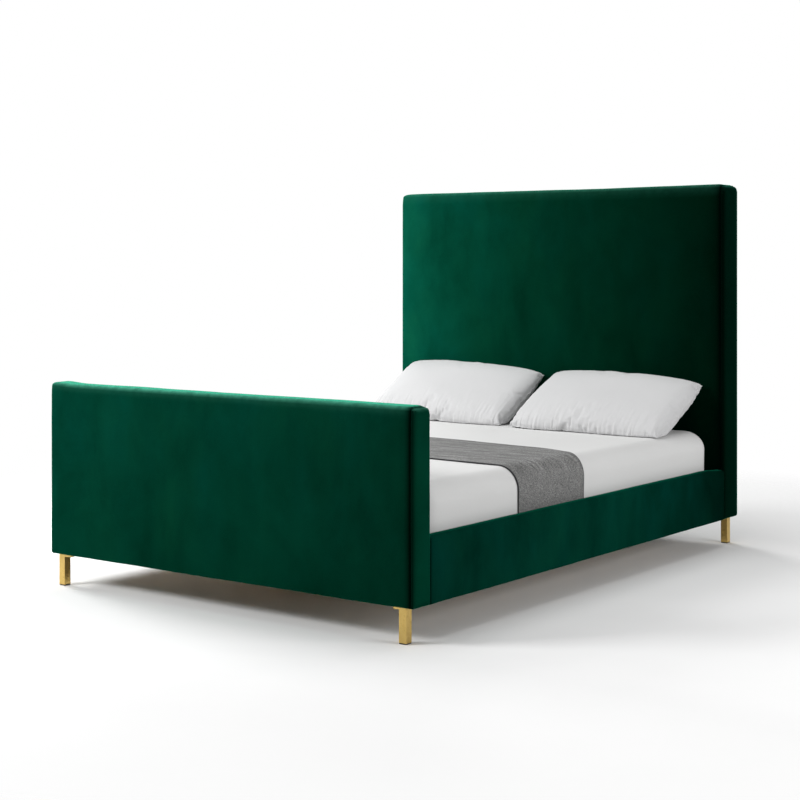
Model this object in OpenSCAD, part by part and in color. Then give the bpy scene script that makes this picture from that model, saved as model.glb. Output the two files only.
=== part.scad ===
// Upholstered bed with a tall headboard and a footboard, on corner legs, with its mattress and bedding.
// Millimetres. The origin is on the floor under the middle of the bed: +Y is the head end, +Z is up.

/* [Mattress] */
// Width of the mattress that the frame is built round
mattress_w = 1520; // [1370:10:1930]
// Length of the mattress
mattress_l = 2028; // [1900:4:2130]
// Thickness of the mattress
mattress_h = 254.7; // [200:0.1:320]
// Plan radius of the mattress's upright corners
mattress_corner_r = 100; // [80:5:140]
// Radius along the mattress's top edge
mattress_edge_r = 75; // [40:5:76]

/* [Frame] */
// Height of the frame's underside above the floor
leg_h = 112; // [90:1:180]
// Gap between the mattress and each side rail
side_gap = 5; // [4:0.5:12]
// Gap between the mattress and each end board
end_gap = 4; // [2:0.5:12]
// Height of the upholstered side rails
rail_h = 210; // [180:5:260]
// Thickness of the upholstered side rails
rail_t = 43; // [40:1:60]
// Height of the slat tops above the frame's underside
slat_seat = 103; // [98:1:125]

/* [End boards] */
// Height of the headboard's top above the floor
head_h = 1470; // [1000:10:1700]
// Thickness of the headboard
head_t = 138; // [120:1:160]
// Height of the footboard's top above the floor
foot_h = 718; // [520:2:900]
// Thickness of the footboard
foot_t = 95; // [90:1:120]
// Radius along the end boards' top edges on the side that faces the foot
board_front_r = 14; // [6:1:14]
// Radius along the end boards' top edges on the side that faces the head
board_back_r = 30; // [12:1:30]

/* [Upholstery] */
// Thickness of the velvet covers
cover_t = 1.5; // [1:0.25:2.5]
// Thickness of the foam on the headboard's front
head_foam_t = 30; // [20:1:36]
// Thickness of the foam on each face of the footboard
foot_foam_t = 15; // [10:1:18]
// Thickness of the foam round the edges of the boards
edge_foam_t = 12; // [10:1:16]

/* [Corner legs] */
// Width of the square leg tube
leg_w = 28; // [24:1:34]
// Wall of the leg tube
leg_wall = 2; // [1.5:0.5:3]
// Distance from the bed's side to the leg's outer face
leg_inset_x = 35; // [30:1:45]
// Reach of each mounting tab beyond the middle of the leg
tab_reach = 44; // [40:1:46]

/* [Slats and centre beam] */
// Number of slats
slat_n = 14; // [10:1:17]
// Width of a slat
slat_w = 70; // [60:1:80]
// Thickness of a slat
slat_t = 20; // [16:1:24]
// Distance between neighbouring centre legs
centre_leg_pitch = 620; // [500:10:750]

/* [Bedding] */
// Width of the folded throw across the bed, measured along it
throw_w = 550; // [400:10:700]
// Thickness of the throw
throw_t = 3; // [2:0.5:3]
// Width of a pillow
pillow_w = 700; // [600:10:700]
// Height of a pillow, from its lower seam to its upper one
pillow_d = 420; // [380:10:420]
// Thickness of a pillow at its middle
pillow_t = 150; // [110:5:160]
// Lean of the pillows, up from the mattress
pillow_tilt = 30; // [26:1:34]

/* [Hidden] */
$fn = 48;
soft_fn = 24;
arc_steps = 4;
eps = 0.01;
rest_gap = 0.3;

// The bed's overall sizes
inner_w = mattress_w + 2 * side_gap;
inner_l = mattress_l + 2 * end_gap;
bed_w = inner_w + 2 * rail_t;
bed_l = foot_t + inner_l + head_t;
foot_y = -bed_l / 2;
foot_in = foot_y + foot_t;
head_y = bed_l / 2;
head_in = head_y - head_t;

// Heights
slat_z = leg_h + slat_seat;
mattress_z = slat_z + rest_gap;
mattress_top = mattress_z + mattress_h;

// Timber inside the boards
timber_w = bed_w - 2 * (cover_t + edge_foam_t);
timber_x = timber_w / 2;
timber_z = leg_h + cover_t;
sill_h = 60;
sill_z = timber_z + sill_h;
stile_w = 90;
stile_t = 45;
top_rail_h = 60;
panel_t = 6;
foot_panel_y = foot_y + cover_t + foot_foam_t;
foot_frame_y = foot_panel_y + panel_t;
foot_frame_t = foot_t - 2 * (cover_t + foot_foam_t + panel_t);
foot_top = foot_h - cover_t - edge_foam_t;
board_low_r = 6;
head_front_t = 9;
head_panel_y = head_in + cover_t + head_foam_t;
head_frame_y = head_panel_y + head_front_t;
head_back_y = head_y - cover_t - panel_t;
head_top = head_h - cover_t - edge_foam_t;
back_frame_y = head_frame_y + stile_t;
middle_rail_z = (sill_z + head_top) / 2;
back_margin = 45;

// Side rails
rail_x = inner_w / 2;
rail_rs = [4, 4, 14, 14];
board_t = 28;
board_h = rail_h - 25;
board_x = rail_x + cover_t;
open_low = 10;
open_high = rail_h - 40;
ledger_t = 25;
ledger_h = 35;
ledger_z = slat_z - slat_t - ledger_h;
ledger_end = 65;

// Corner brackets, bolts and screws
bracket_t = 3;
bracket_leg = 45;
bracket_reach = 60;
bracket_z = leg_h + 12;
bracket_h = 48;
bolt_x = board_x - 21.5;
bolt_zs = [leg_h + 24, leg_h + 48];
bolt_r = 4;
bolt_clear = 0.5;
insert_r = 6;
insert_l = 20;
screw_r = 2.5;
screw_head_r = 5;
screw_head_t = 3;
ledger_screw_n = 6;

// Corner legs
leg_x = bed_w / 2 - leg_inset_x - leg_w / 2;
front_leg_y = foot_y + 12.5 + leg_w / 2;
rear_leg_y = head_y - 5 - leg_w / 2;
plate_t = 8;
tab_r = leg_w / 2;
glide_t = 3;
// Each leg's place, and the signs of the way its two tabs run
corners = [
    ["left_front_leg", -leg_x, front_leg_y, 1, 1],
    ["right_front_leg", leg_x, front_leg_y, -1, 1],
    ["left_rear_leg", -leg_x, rear_leg_y, 1, -1],
    ["right_rear_leg", leg_x, rear_leg_y, -1, -1],
];

// Centre beam and its legs
beam_w = 40;
beam_h = 70;
beam_z = slat_z - slat_t - beam_h;
hanger_t = 3;
hanger_w = 100;
hanger_reach = 45;
hanger_z = leg_h + 10;
hanger_h = 50;
centre_leg_w = 40;
centre_leg_z = 36;
centre_names = ["foot", "middle", "head"];
centre_ys = [for (i = [-1:1]) (foot_in + head_in) / 2 + i * centre_leg_pitch];
foot_pad_r = 20;
foot_pad_t = 8;
stem_r = 5;
stem_top = 60;
stem_bore_top = 84;
stem_clear = 0.1;
nut_t = 8;
nut_r = 9.8;

// Slats
slat_l = 2 * (board_x - 3.5);
slat_end = 30;
slat_pitch = (inner_l - 2 * slat_end - slat_w) / (slat_n - 1);
strap_w = 30;
strap_t = 1;
strap_x = 430;

// Mattress layers
sheet_t = 1.2;
ticking_t = 2;
comfort_t = 50;
mattress_bottom_r = 25;
sheet_turn = 150;

// Throw and pillows
throw_gap = 0.5;
throw_hem_z = slat_z + 15;
throw_y = (foot_in + head_in) / 2 - 185.5;
case_t = 1.5;
pillow_ear_r = 14;
pillow_shoulder_r = 52;
// Each pillow: name, place of its middle, turn about its own face, turn about the upright
pillows = [
    ["left", [-392, 800, 573], -2.4, -1],
    ["right", [374, 800, 565], -2, 3],
];

// ---- Shared shapes ----

// Points on part of a circle
function arc(cx, cy, r, from, to) =
    [for (i = [0:arc_steps]) let (a = from + (to - from) * i / arc_steps) [cx + r * cos(a), cy + r * sin(a)]];

// A round post of radius r and height t, its bottom rim rounded by e0 and its top rim by e1
module puck(r, t, e0, e1)
    rotate_extrude($fn = soft_fn)
        polygon(concat([[0, 0]], arc(r - e0, e0, e0, -90, 0), arc(r - e1, t - e1, e1, 0, 90), [[0, t]]));

// A slab on the XY plane, centred on X and starting at Y = 0, with plan radius r and rim radii e0 and e1
module soft_slab(w, l, t, r, e0, e1)
    hull()
        for (x = [r - w / 2, w / 2 - r], y = [r, l - r])
            translate([x, y, 0]) puck(r, t, e0, e1);

// A rectangle from the origin, with a radius at each corner: low left, low right, high right, high left
module round_rect(w, h, r) {
    polygon([
        [r[0], 0], [w - r[1], 0], [w, r[1]], [w, h - r[2]],
        [w - r[2], h], [r[3], h], [0, h - r[3]], [0, r[0]],
    ]);
    places = [[r[0], r[0]], [w - r[1], r[1]], [w - r[2], h - r[2]], [r[3], h - r[3]]];
    for (i = [0:3]) if (r[i] > 0) translate(places[i]) circle(r[i]);
}

// Stands a shape drawn on the XY plane upright, so that its thickness runs from y towards -Y
module stand(y, z)
    translate([0, y, z]) rotate([90, 0, 0]) children();

// A box from its low corner to its high one
module span(low, high)
    translate(low) cube(high - low);

// A rod along Y, from y towards +Y
module rod_y(x, y, z, r, l)
    translate([x, y, z]) rotate([-90, 0, 0]) cylinder(r = r, h = l);

module both_sides()
    for (s = [0, 1]) mirror([s, 0, 0]) children();

// ---- Screw and bolt places, shared by the pieces that they pass through ----

// The rail bolts' shanks or holes at both ends, from the boards' inner faces into the sills
module rail_bolt_lines(r, out, into)
    for (z = bolt_zs) both_sides() {
        rod_y(bolt_x, foot_in - into, z, r, into + out);
        rod_y(bolt_x, head_in - out, z, r, into + out);
    }

module hanger_screw_lines(r, out, into)
    for (x = [-1, 1] * 38, z = [12, 38]) {
        rod_y(x, foot_in - into, hanger_z + z, r, into + out);
        rod_y(x, head_in - out, hanger_z + z, r, into + out);
    }

module leg_screw_lines(r, z0, z1)
    for (c = corners, d = [[c[3], 0], [0, c[4]]])
        translate([c[1] + d[0] * (tab_reach - tab_r), c[2] + d[1] * (tab_reach - tab_r), z0])
            cylinder(r = r, h = z1 - z0);

module bracket_screw_lines(r, from, to)
    for (z = bolt_zs, y = [foot_in + 40, head_in - 40]) both_sides()
        translate([from, y, z]) rotate([0, 90, 0]) cylinder(r = r, h = to - from);

module ledger_screw_lines(r, from, to)
    for (i = [0:ledger_screw_n - 1])
        translate([from, foot_in + 120 + i * (inner_l - 240) / (ledger_screw_n - 1), ledger_z + ledger_h / 2])
            rotate([0, 90, 0]) cylinder(r = r, h = to - from);

// ---- Headboard ----

// Everything inside the headboard's outer surface, moved in by inset
module headboard_solid(inset)
    translate([inset - bed_w / 2, head_in + inset, leg_h + inset])
        rotate([90, 0, 90])
            linear_extrude(bed_w - 2 * inset)
                round_rect(head_t - 2 * inset, head_h - leg_h - 2 * inset,
                    [board_low_r, board_low_r, board_back_r, board_front_r] - [1, 1, 1, 1] * inset);

module sill_holes() {
    rail_bolt_lines(insert_r, 1, cover_t + insert_l);
    hanger_screw_lines(screw_r, 1, cover_t + 30);
    leg_screw_lines(screw_r, leg_h, leg_h + 32);
}

module headboard_sill() color("burlywood")
    difference() {
        intersection() {
            span([-timber_x, head_in, timber_z], [timber_x, head_back_y, sill_z]);
            headboard_solid(cover_t);
        }
        sill_holes();
    }

module headboard_stile(side) color("burlywood")
    translate([side * (timber_x - stile_w / 2), 0, 0])
        span([-stile_w / 2, head_frame_y, sill_z], [stile_w / 2, back_frame_y, head_top]);

module headboard_cross_rail(z) color("burlywood")
    span([stile_w - timber_x, head_frame_y, z], [timber_x - stile_w, back_frame_y, z + top_rail_h]);

module headboard_back_frame() color("wheat")
    difference() {
        span([-timber_x, back_frame_y, sill_z], [timber_x, head_back_y, head_top]);
        span([stile_t - timber_x, back_frame_y - 1, sill_z - 1],
            [timber_x - stile_t, head_back_y + 1, head_top - stile_t]);
    }

module headboard_front_panel() color("peru")
    span([-timber_x, head_panel_y, sill_z], [timber_x, head_frame_y, head_top]);

module headboard_back_panel() color("saddlebrown")
    span([-timber_x, head_back_y, leg_h + board_low_r],
        [timber_x, head_back_y + panel_t, head_h - board_back_r]);

module headboard_foam() color("khaki")
    difference() {
        headboard_solid(cover_t);
        span([-timber_x, head_panel_y, leg_h], [timber_x, head_back_y, head_top]);
        span([-timber_x, head_back_y, leg_h], [timber_x, head_y, head_h - board_back_r]);
        span([-timber_x, head_in, leg_h], [timber_x, head_y, sill_z]);
    }

// The opening in the back of the headboard's cover, from y0 to y1
module back_opening(y0, y1)
    span([back_margin - bed_w / 2, y0, leg_h + back_margin],
        [bed_w / 2 - back_margin, y1, head_h - back_margin]);

module headboard_cover() color("darkgreen")
    difference() {
        headboard_solid(0);
        headboard_solid(cover_t);
        back_opening(head_y - 2 * cover_t, head_y + 1);
        rail_bolt_lines(bolt_r + bolt_clear, 1, cover_t + 1);
        hanger_screw_lines(screw_r, 1, cover_t + 1);
        leg_screw_lines(screw_r, leg_h - 1, timber_z + 1);
    }

module headboard_back_cover() color("darkgreen")
    back_opening(head_y - cover_t, head_y);

// ---- Footboard ----

// Everything inside the footboard's outer surface, moved in by inset
module footboard_solid(inset)
    translate([inset - bed_w / 2, foot_y + inset, leg_h + inset])
        rotate([90, 0, 90])
            linear_extrude(bed_w - 2 * inset)
                round_rect(foot_t - 2 * inset, foot_h - leg_h - 2 * inset,
                    [board_low_r, board_low_r, board_back_r, board_front_r] - [1, 1, 1, 1] * inset);

module footboard_sill() color("burlywood")
    difference() {
        intersection() {
            span([-timber_x, foot_frame_y, timber_z], [timber_x, foot_in, sill_z]);
            footboard_solid(cover_t);
        }
        sill_holes();
    }

module footboard_stile(side) color("burlywood")
    translate([side * (timber_x - stile_w / 2), 0, 0])
        span([-stile_w / 2, foot_frame_y, sill_z], [stile_w / 2, foot_frame_y + foot_frame_t, foot_top]);

module footboard_top_rail() color("burlywood")
    span([stile_w - timber_x, foot_frame_y, foot_top - top_rail_h],
        [timber_x - stile_w, foot_frame_y + foot_frame_t, foot_top]);

module footboard_outer_panel() color("peru")
    span([-timber_x, foot_panel_y, timber_z], [timber_x, foot_frame_y, foot_top]);

module footboard_inner_panel() color("peru")
    span([-timber_x, foot_frame_y + foot_frame_t, sill_z],
        [timber_x, foot_frame_y + foot_frame_t + panel_t, foot_top]);

// The half of the footboard's foam between the planes y0 and y1
module footboard_foam(y0, y1) color("khaki")
    difference() {
        intersection() {
            footboard_solid(cover_t);
            span([-bed_w, y0, 0], [bed_w, y1, foot_h]);
        }
        span([-timber_x, foot_panel_y, leg_h], [timber_x, foot_in - cover_t - foot_foam_t, foot_top]);
        span([-timber_x, foot_panel_y, leg_h], [timber_x, foot_in, sill_z]);
    }

module footboard_cover() color("darkgreen")
    difference() {
        footboard_solid(0);
        footboard_solid(cover_t);
        rail_bolt_lines(bolt_r + bolt_clear, 1, cover_t + 1);
        hanger_screw_lines(screw_r, 1, cover_t + 1);
        leg_screw_lines(screw_r, leg_h - 1, timber_z + 1);
    }

// ---- Side rails, drawn on the right and mirrored to the left ----

module on_side(side)
    mirror([side < 0 ? 1 : 0, 0, 0]) children();

// Extrudes a section, drawn with X outwards from the rail's inner face and Y upwards, along the rail
module along_rail()
    translate([rail_x, head_in, leg_h]) rotate([90, 0, 0]) linear_extrude(inner_l) children();

module rail_inside()
    translate([cover_t, cover_t])
        round_rect(rail_t - 2 * cover_t, rail_h - 2 * cover_t, rail_rs - [1, 1, 1, 1] * cover_t);

module rail_board_section()
    intersection() {
        rail_inside();
        square([cover_t + board_t, cover_t + board_h]);
    }

module rail_board(side) color("peru")
    on_side(side)
        difference() {
            along_rail() rail_board_section();
            bracket_screw_lines(screw_r, rail_x, board_x + 18);
            ledger_screw_lines(screw_r, rail_x, board_x + 18);
        }

module rail_foam(side) color("khaki")
    on_side(side)
        along_rail()
            difference() {
                rail_inside();
                square([cover_t + board_t, cover_t + board_h]);
            }

module rail_cover(side) color("darkgreen")
    on_side(side)
        along_rail()
            difference() {
                round_rect(rail_t, rail_h, rail_rs);
                rail_inside();
                translate([-1, open_low]) square([2 * cover_t, open_high - open_low]);
            }

module rail_ledger(side) color("burlywood")
    on_side(side)
        difference() {
            span([board_x - ledger_t, foot_in + ledger_end, ledger_z],
                [board_x, head_in - ledger_end, ledger_z + ledger_h]);
            ledger_screw_lines(screw_r, 0, board_x + 1);
        }

module ledger_screws() color("silver")
    both_sides() {
        ledger_screw_lines(screw_r, board_x - ledger_t, board_x + 15);
        ledger_screw_lines(screw_head_r, board_x - ledger_t - screw_head_t, board_x - ledger_t);
    }

// ---- Corner brackets and their fastenings ----

module rail_bracket(y, way)
    difference() {
        union() {
            translate([board_x - bracket_t, y, bracket_z])
                mirror([0, way < 0 ? 1 : 0, 0]) cube([bracket_t, bracket_reach, bracket_h]);
            translate([board_x - bracket_leg, y, bracket_z])
                mirror([0, way < 0 ? 1 : 0, 0]) cube([bracket_leg, bracket_t, bracket_h]);
        }
        rail_bolt_lines(bolt_r + bolt_clear, bracket_t + 1, 1);
        bracket_screw_lines(screw_r, board_x - bracket_t - 1, board_x + 1);
    }

module rail_brackets() color("silver")
    both_sides() {
        rail_bracket(foot_in, 1);
        rail_bracket(head_in, -1);
    }

module rail_bolts() color("dimgray") {
    rail_bolt_lines(bolt_r, bracket_t, cover_t + insert_l - 2);
    for (z = bolt_zs) both_sides() {
        rod_y(bolt_x, foot_in + bracket_t, z, 7, 5);
        rod_y(bolt_x, head_in - bracket_t - 5, z, 7, 5);
    }
}

module rail_bolt_inserts() color("goldenrod")
    difference() {
        rail_bolt_lines(insert_r, -cover_t, cover_t + insert_l);
        rail_bolt_lines(bolt_r, 1, cover_t + insert_l + 1);
    }

module bracket_screws() color("silver") {
    bracket_screw_lines(screw_r, board_x - bracket_t, board_x + 15);
    bracket_screw_lines(screw_head_r, board_x - bracket_t - 2, board_x - bracket_t);
}

// ---- Corner legs ----

module tab_outline(way)
    translate([way[0], way[1]] * (tab_reach - tab_r)) circle(tab_r);

// One end of a tab: the bar that joins its round end to the tube
module tab_bar(way)
    translate([min(0, way[0]), min(0, way[1])] * (tab_reach - tab_r) - [1 - abs(way[0]), 1 - abs(way[1])] * tab_r)
        square([abs(way[0]), abs(way[1])] * (tab_reach - tab_r) + [1 - abs(way[0]), 1 - abs(way[1])] * leg_w);

module corner_leg(c) color("goldenrod")
    difference() {
        union() {
            translate([c[1], c[2], leg_h - plate_t])
                linear_extrude(plate_t) {
                    square(leg_w, center = true);
                    for (way = [[c[3], 0], [0, c[4]]]) {
                        tab_bar(way);
                        tab_outline(way);
                    }
                }
            translate([c[1] - leg_w / 2, c[2] - leg_w / 2, glide_t])
                cube([leg_w, leg_w, leg_h - glide_t - 1]);
        }
        translate([c[1] - leg_w / 2 + leg_wall, c[2] - leg_w / 2 + leg_wall, 0])
            cube([leg_w - 2 * leg_wall, leg_w - 2 * leg_wall, leg_h - plate_t]);
        leg_screw_lines(screw_r, leg_h - plate_t - 1, leg_h + 1);
    }

module leg_glides() color("black")
    for (c = corners)
        translate([c[1], c[2], 0]) {
            translate([-leg_w / 2 + 0.5, -leg_w / 2 + 0.5, 0]) cube([leg_w - 1, leg_w - 1, glide_t]);
            translate([-leg_w / 2 + leg_wall, -leg_w / 2 + leg_wall, glide_t - eps])
                cube([leg_w - 2 * leg_wall, leg_w - 2 * leg_wall, 18]);
        }

module leg_screws() color("silver") {
    leg_screw_lines(screw_r, leg_h - plate_t, leg_h + 32);
    leg_screw_lines(screw_head_r, leg_h - plate_t - screw_head_t, leg_h - plate_t);
}

// ---- Centre beam ----

module centre_beam() color("burlywood")
    difference() {
        span([-beam_w / 2, foot_in + hanger_t, beam_z], [beam_w / 2, head_in - hanger_t, beam_z + beam_h]);
        for (y = centre_ys) translate([0, y, beam_z - 1]) cylinder(r = bolt_r, h = 51);
    }

module beam_hanger()
    difference() {
        union() {
            translate([-hanger_w / 2, 0, hanger_z]) cube([hanger_w, hanger_t, hanger_h]);
            translate([-beam_w / 2 - hanger_t, 0, hanger_z])
                cube([beam_w + 2 * hanger_t, hanger_reach, hanger_h + 10]);
        }
        translate([-beam_w / 2, hanger_t, beam_z]) cube([beam_w, hanger_reach, beam_h]);
        for (x = [-1, 1] * 38, z = [12, 38]) rod_y(x, -1, hanger_z + z, screw_r, hanger_t + 2);
    }

module beam_hangers() color("silver") {
    translate([0, foot_in, 0]) beam_hanger();
    translate([0, head_in, 0]) mirror([0, 1, 0]) beam_hanger();
}

module hanger_screws() color("silver") {
    hanger_screw_lines(screw_r, hanger_t, cover_t + 28);
    for (x = [-1, 1] * 38, z = [12, 38]) {
        rod_y(x, foot_in + hanger_t, hanger_z + z, screw_head_r, screw_head_t);
        rod_y(x, head_in - hanger_t - screw_head_t, hanger_z + z, screw_head_r, screw_head_t);
    }
}

// A post under the beam, held by a dowel screw, with a threaded bore for its foot
module centre_leg(y) color("dimgray")
    translate([0, y, 0])
        difference() {
            union() {
                span([-centre_leg_w / 2, -centre_leg_w / 2, centre_leg_z],
                    [centre_leg_w / 2, centre_leg_w / 2, beam_z]);
                translate([0, 0, beam_z - 1]) cylinder(r = bolt_r, h = 46);
            }
            translate([0, 0, centre_leg_z - 1])
                cylinder(r = stem_r + stem_clear, h = stem_bore_top - centre_leg_z + 1);
        }

module levelling_foot(y) color("silver")
    translate([0, y, 0]) {
        cylinder(r = foot_pad_r, h = foot_pad_t);
        cylinder(r = stem_r, h = stem_top);
    }

module lock_nuts() color("silver")
    for (y = centre_ys)
        translate([0, y, centre_leg_z - nut_t])
            difference() {
                cylinder(r = nut_r, h = nut_t, $fn = 6);
                translate([0, 0, -1]) cylinder(r = stem_r + stem_clear, h = nut_t + 2);
            }

// ---- Slats ----

module slats() color("wheat")
    for (i = [0:slat_n - 1])
        translate([-slat_l / 2, foot_in + slat_end + i * slat_pitch, slat_z - slat_t])
            cube([slat_l, slat_w, slat_t]);

module slat_straps() color("ivory")
    both_sides()
        translate([strap_x - strap_w / 2, foot_in + slat_end, slat_z - slat_t - strap_t])
            cube([strap_w, inner_l - 2 * slat_end, strap_t]);

// ---- Mattress ----

module mattress_block(inset)
    translate([0, -mattress_l / 2 + (foot_in + head_in) / 2 + inset, mattress_z + inset])
        soft_slab(mattress_w - 2 * inset, mattress_l - 2 * inset, mattress_h - 2 * inset,
            mattress_corner_r - inset, mattress_bottom_r - inset, mattress_edge_r - inset);

// The part of the mattress's filling between the heights z0 and z1
module mattress_layer(z0, z1)
    intersection() {
        mattress_block(sheet_t + ticking_t);
        span([-mattress_w, -mattress_l, z0], [mattress_w, mattress_l, z1]);
    }

module mattress_spring_core() color("lightsteelblue")
    mattress_layer(0, mattress_top - comfort_t);

module mattress_comfort_foam() color("khaki")
    mattress_layer(mattress_top - comfort_t, mattress_top);

module mattress_ticking() color("ivory")
    difference() {
        mattress_block(sheet_t);
        mattress_block(sheet_t + ticking_t);
    }

module fitted_sheet() color("white")
    difference() {
        mattress_block(0);
        mattress_block(sheet_t);
        span([-mattress_w / 2 + sheet_turn, -mattress_l / 2 + sheet_turn + (foot_in + head_in) / 2, 0],
            [mattress_w / 2 - sheet_turn, mattress_l / 2 - sheet_turn + (foot_in + head_in) / 2,
                mattress_z + 2 * sheet_t]);
    }

// ---- Pillows ----

// A leaning cushion, flat where it rests on the mattress and against the headboard
module pillow_shape(p, inset)
    intersection() {
        translate(p[1]) rotate([0, 0, p[3]]) rotate([pillow_tilt, 0, 0]) rotate([0, 0, p[2]])
            hull() {
                for (x = [-1, 1], y = [-1, 1]) {
                    translate([x * (pillow_w / 2 - pillow_ear_r), y * (pillow_d / 2 - pillow_ear_r), 0])
                        sphere(pillow_ear_r - inset, $fn = 16);
                    translate([x * (pillow_w / 2 - 130), y * (pillow_d / 2 - 100), 0])
                        sphere(pillow_shoulder_r - inset, $fn = 16);
                }
                scale([pillow_w - 90, pillow_d - 50, pillow_t] / pillow_t)
                    sphere(pillow_t / 2 - inset, $fn = soft_fn);
            }
        span([-bed_w, 0, mattress_top + rest_gap + inset], [bed_w, head_in - rest_gap - inset, head_h]);
    }

module pillow_filling(p) color("white")
    pillow_shape(p, case_t);

module pillowcase(p) color("white")
    difference() {
        pillow_shape(p, 0);
        pillow_shape(p, case_t);
    }

// ---- Throw ----

// The throw's section across the bed: its outer side for grow = throw_t, its inner side for grow = 0
module throw_section(grow)
    translate([-mattress_w / 2 - throw_gap - grow, 0])
        round_rect(mattress_w + 2 * (throw_gap + grow), mattress_top + throw_gap + grow,
            [0, 0, 1, 1] * (mattress_edge_r + throw_gap + grow));

module throw() color("dimgray")
    stand(throw_y + throw_w / 2, 0)
        linear_extrude(throw_w)
            difference() {
                throw_section(throw_t);
                throw_section(0);
                translate([-mattress_w, -1]) square([2 * mattress_w, throw_hem_z + 1]);
            }

// ---- Nodes ----

headboard_sill();
headboard_stile(-1);  // headboard_left_stile
headboard_stile(1);  // headboard_right_stile
headboard_cross_rail(middle_rail_z);  // headboard_middle_rail
headboard_cross_rail(head_top - top_rail_h);  // headboard_top_rail
headboard_back_frame();
headboard_front_panel();
headboard_back_panel();
headboard_foam();
headboard_cover();
headboard_back_cover();
footboard_sill();
footboard_stile(-1);  // footboard_left_stile
footboard_stile(1);  // footboard_right_stile
footboard_top_rail();
footboard_outer_panel();
footboard_inner_panel();
footboard_foam(foot_y - 1, foot_y + foot_t / 2);  // footboard_outer_foam
footboard_foam(foot_y + foot_t / 2, foot_in + 1);  // footboard_inner_foam
footboard_cover();
for (s = [["left", -1], ["right", 1]]) {
    rail_board(s[1]);
    rail_foam(s[1]);
    rail_cover(s[1]);
    rail_ledger(s[1]);
}
rail_brackets();
rail_bolts();
rail_bolt_inserts();
bracket_screws();
ledger_screws();
for (c = corners) corner_leg(c);
leg_glides();
leg_screws();
centre_beam();
beam_hangers();
hanger_screws();
for (i = [0:2]) {
    centre_leg(centre_ys[i]);
    levelling_foot(centre_ys[i]);
}
lock_nuts();
slats();
slat_straps();
mattress_spring_core();
mattress_comfort_foam();
mattress_ticking();
fitted_sheet();
for (p = pillows) {
    pillow_filling(p);
    pillowcase(p);
}
throw();
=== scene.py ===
"""The looks of an upholstered bed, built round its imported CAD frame.

Metres. The origin is on the floor under the middle of the bed: +Y is the head end, +Z is up.
"""

import math

import bmesh
import bpy
import numpy as np
from mathutils import Matrix, Vector, noise

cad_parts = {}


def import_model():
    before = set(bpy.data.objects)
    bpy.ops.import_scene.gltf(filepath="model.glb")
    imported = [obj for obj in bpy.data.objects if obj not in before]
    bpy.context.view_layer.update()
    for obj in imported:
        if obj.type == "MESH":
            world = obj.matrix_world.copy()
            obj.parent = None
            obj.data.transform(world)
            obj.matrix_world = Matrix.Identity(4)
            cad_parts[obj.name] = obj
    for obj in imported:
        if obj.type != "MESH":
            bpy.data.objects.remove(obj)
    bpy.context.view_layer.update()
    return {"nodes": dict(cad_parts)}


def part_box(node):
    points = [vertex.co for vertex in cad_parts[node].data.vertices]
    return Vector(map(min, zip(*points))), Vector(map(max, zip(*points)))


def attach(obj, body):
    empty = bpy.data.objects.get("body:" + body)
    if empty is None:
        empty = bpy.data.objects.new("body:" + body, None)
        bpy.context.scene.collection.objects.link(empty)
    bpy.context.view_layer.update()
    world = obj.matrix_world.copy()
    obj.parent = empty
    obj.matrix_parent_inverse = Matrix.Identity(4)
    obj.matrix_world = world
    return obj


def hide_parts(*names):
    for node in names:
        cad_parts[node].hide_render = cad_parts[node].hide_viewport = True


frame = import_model()

TAU = 2 * math.pi
MM = 0.001

# ---- Places, all read from the CAD nodes ----

HEAD_LO, HEAD_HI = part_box("headboard_cover")
FOOT_LO, FOOT_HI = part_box("footboard_cover")
RAIL_LO, RAIL_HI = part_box("right_rail_cover")
BED_LO, BED_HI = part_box("fitted_sheet")
THROW_LO, THROW_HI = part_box("throw")
HEAD_IN = HEAD_LO[1]
FOOT_IN = FOOT_HI[1]
BED_TOP = BED_HI[2]
BED_MID_Y = (BED_LO[1] + BED_HI[1]) / 2
BED_HALF = (BED_HI[0] - BED_LO[0]) / 2

# ---- Mesh helpers ----


def make_object(name, mesh, body, material):
    obj = bpy.data.objects.new(name, mesh)
    bpy.context.scene.collection.objects.link(obj)
    mesh.materials.append(material)
    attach(obj, body)
    return obj


def middle_and_size(low, high):
    """The middle and the three sizes of a box."""
    return [(a + b) / 2 for a, b in zip(low, high)], [b - a for a, b in zip(low, high)]


def mesh_from(name, bm, smooth=True, doubles=0.02 * MM):
    """Closes up doubled points, turns the faces outwards and makes a mesh."""
    bmesh.ops.remove_doubles(bm, verts=bm.verts, dist=doubles)
    bmesh.ops.recalc_face_normals(bm, faces=bm.faces)
    for face in bm.faces:
        face.smooth = smooth
    mesh = bpy.data.meshes.new(name)
    bm.to_mesh(mesh)
    bm.free()
    return mesh


def join_rows(bm, rows, closed=True):
    """Faces between each row of vertices and the next."""
    count = len(rows[0])
    for low, high in zip(rows, rows[1:]):
        for k in range(count if closed else count - 1):
            n = (k + 1) % count
            bm.faces.new((low[k], low[n], high[n], high[k]))


def grid_mesh(name, rows, marks, closed=False):
    """A surface through rows of points. marks is one number per row, kept as the attribute "mark"."""
    bm = bmesh.new()
    layer = bm.verts.layers.float.new("mark")
    made = []
    for i, row in enumerate(rows):
        line = [bm.verts.new(p) for p in row]
        for vert in line:
            vert[layer] = marks[i]
        made.append(line)
    join_rows(bm, made, closed)
    return mesh_from(name, bm)


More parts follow.
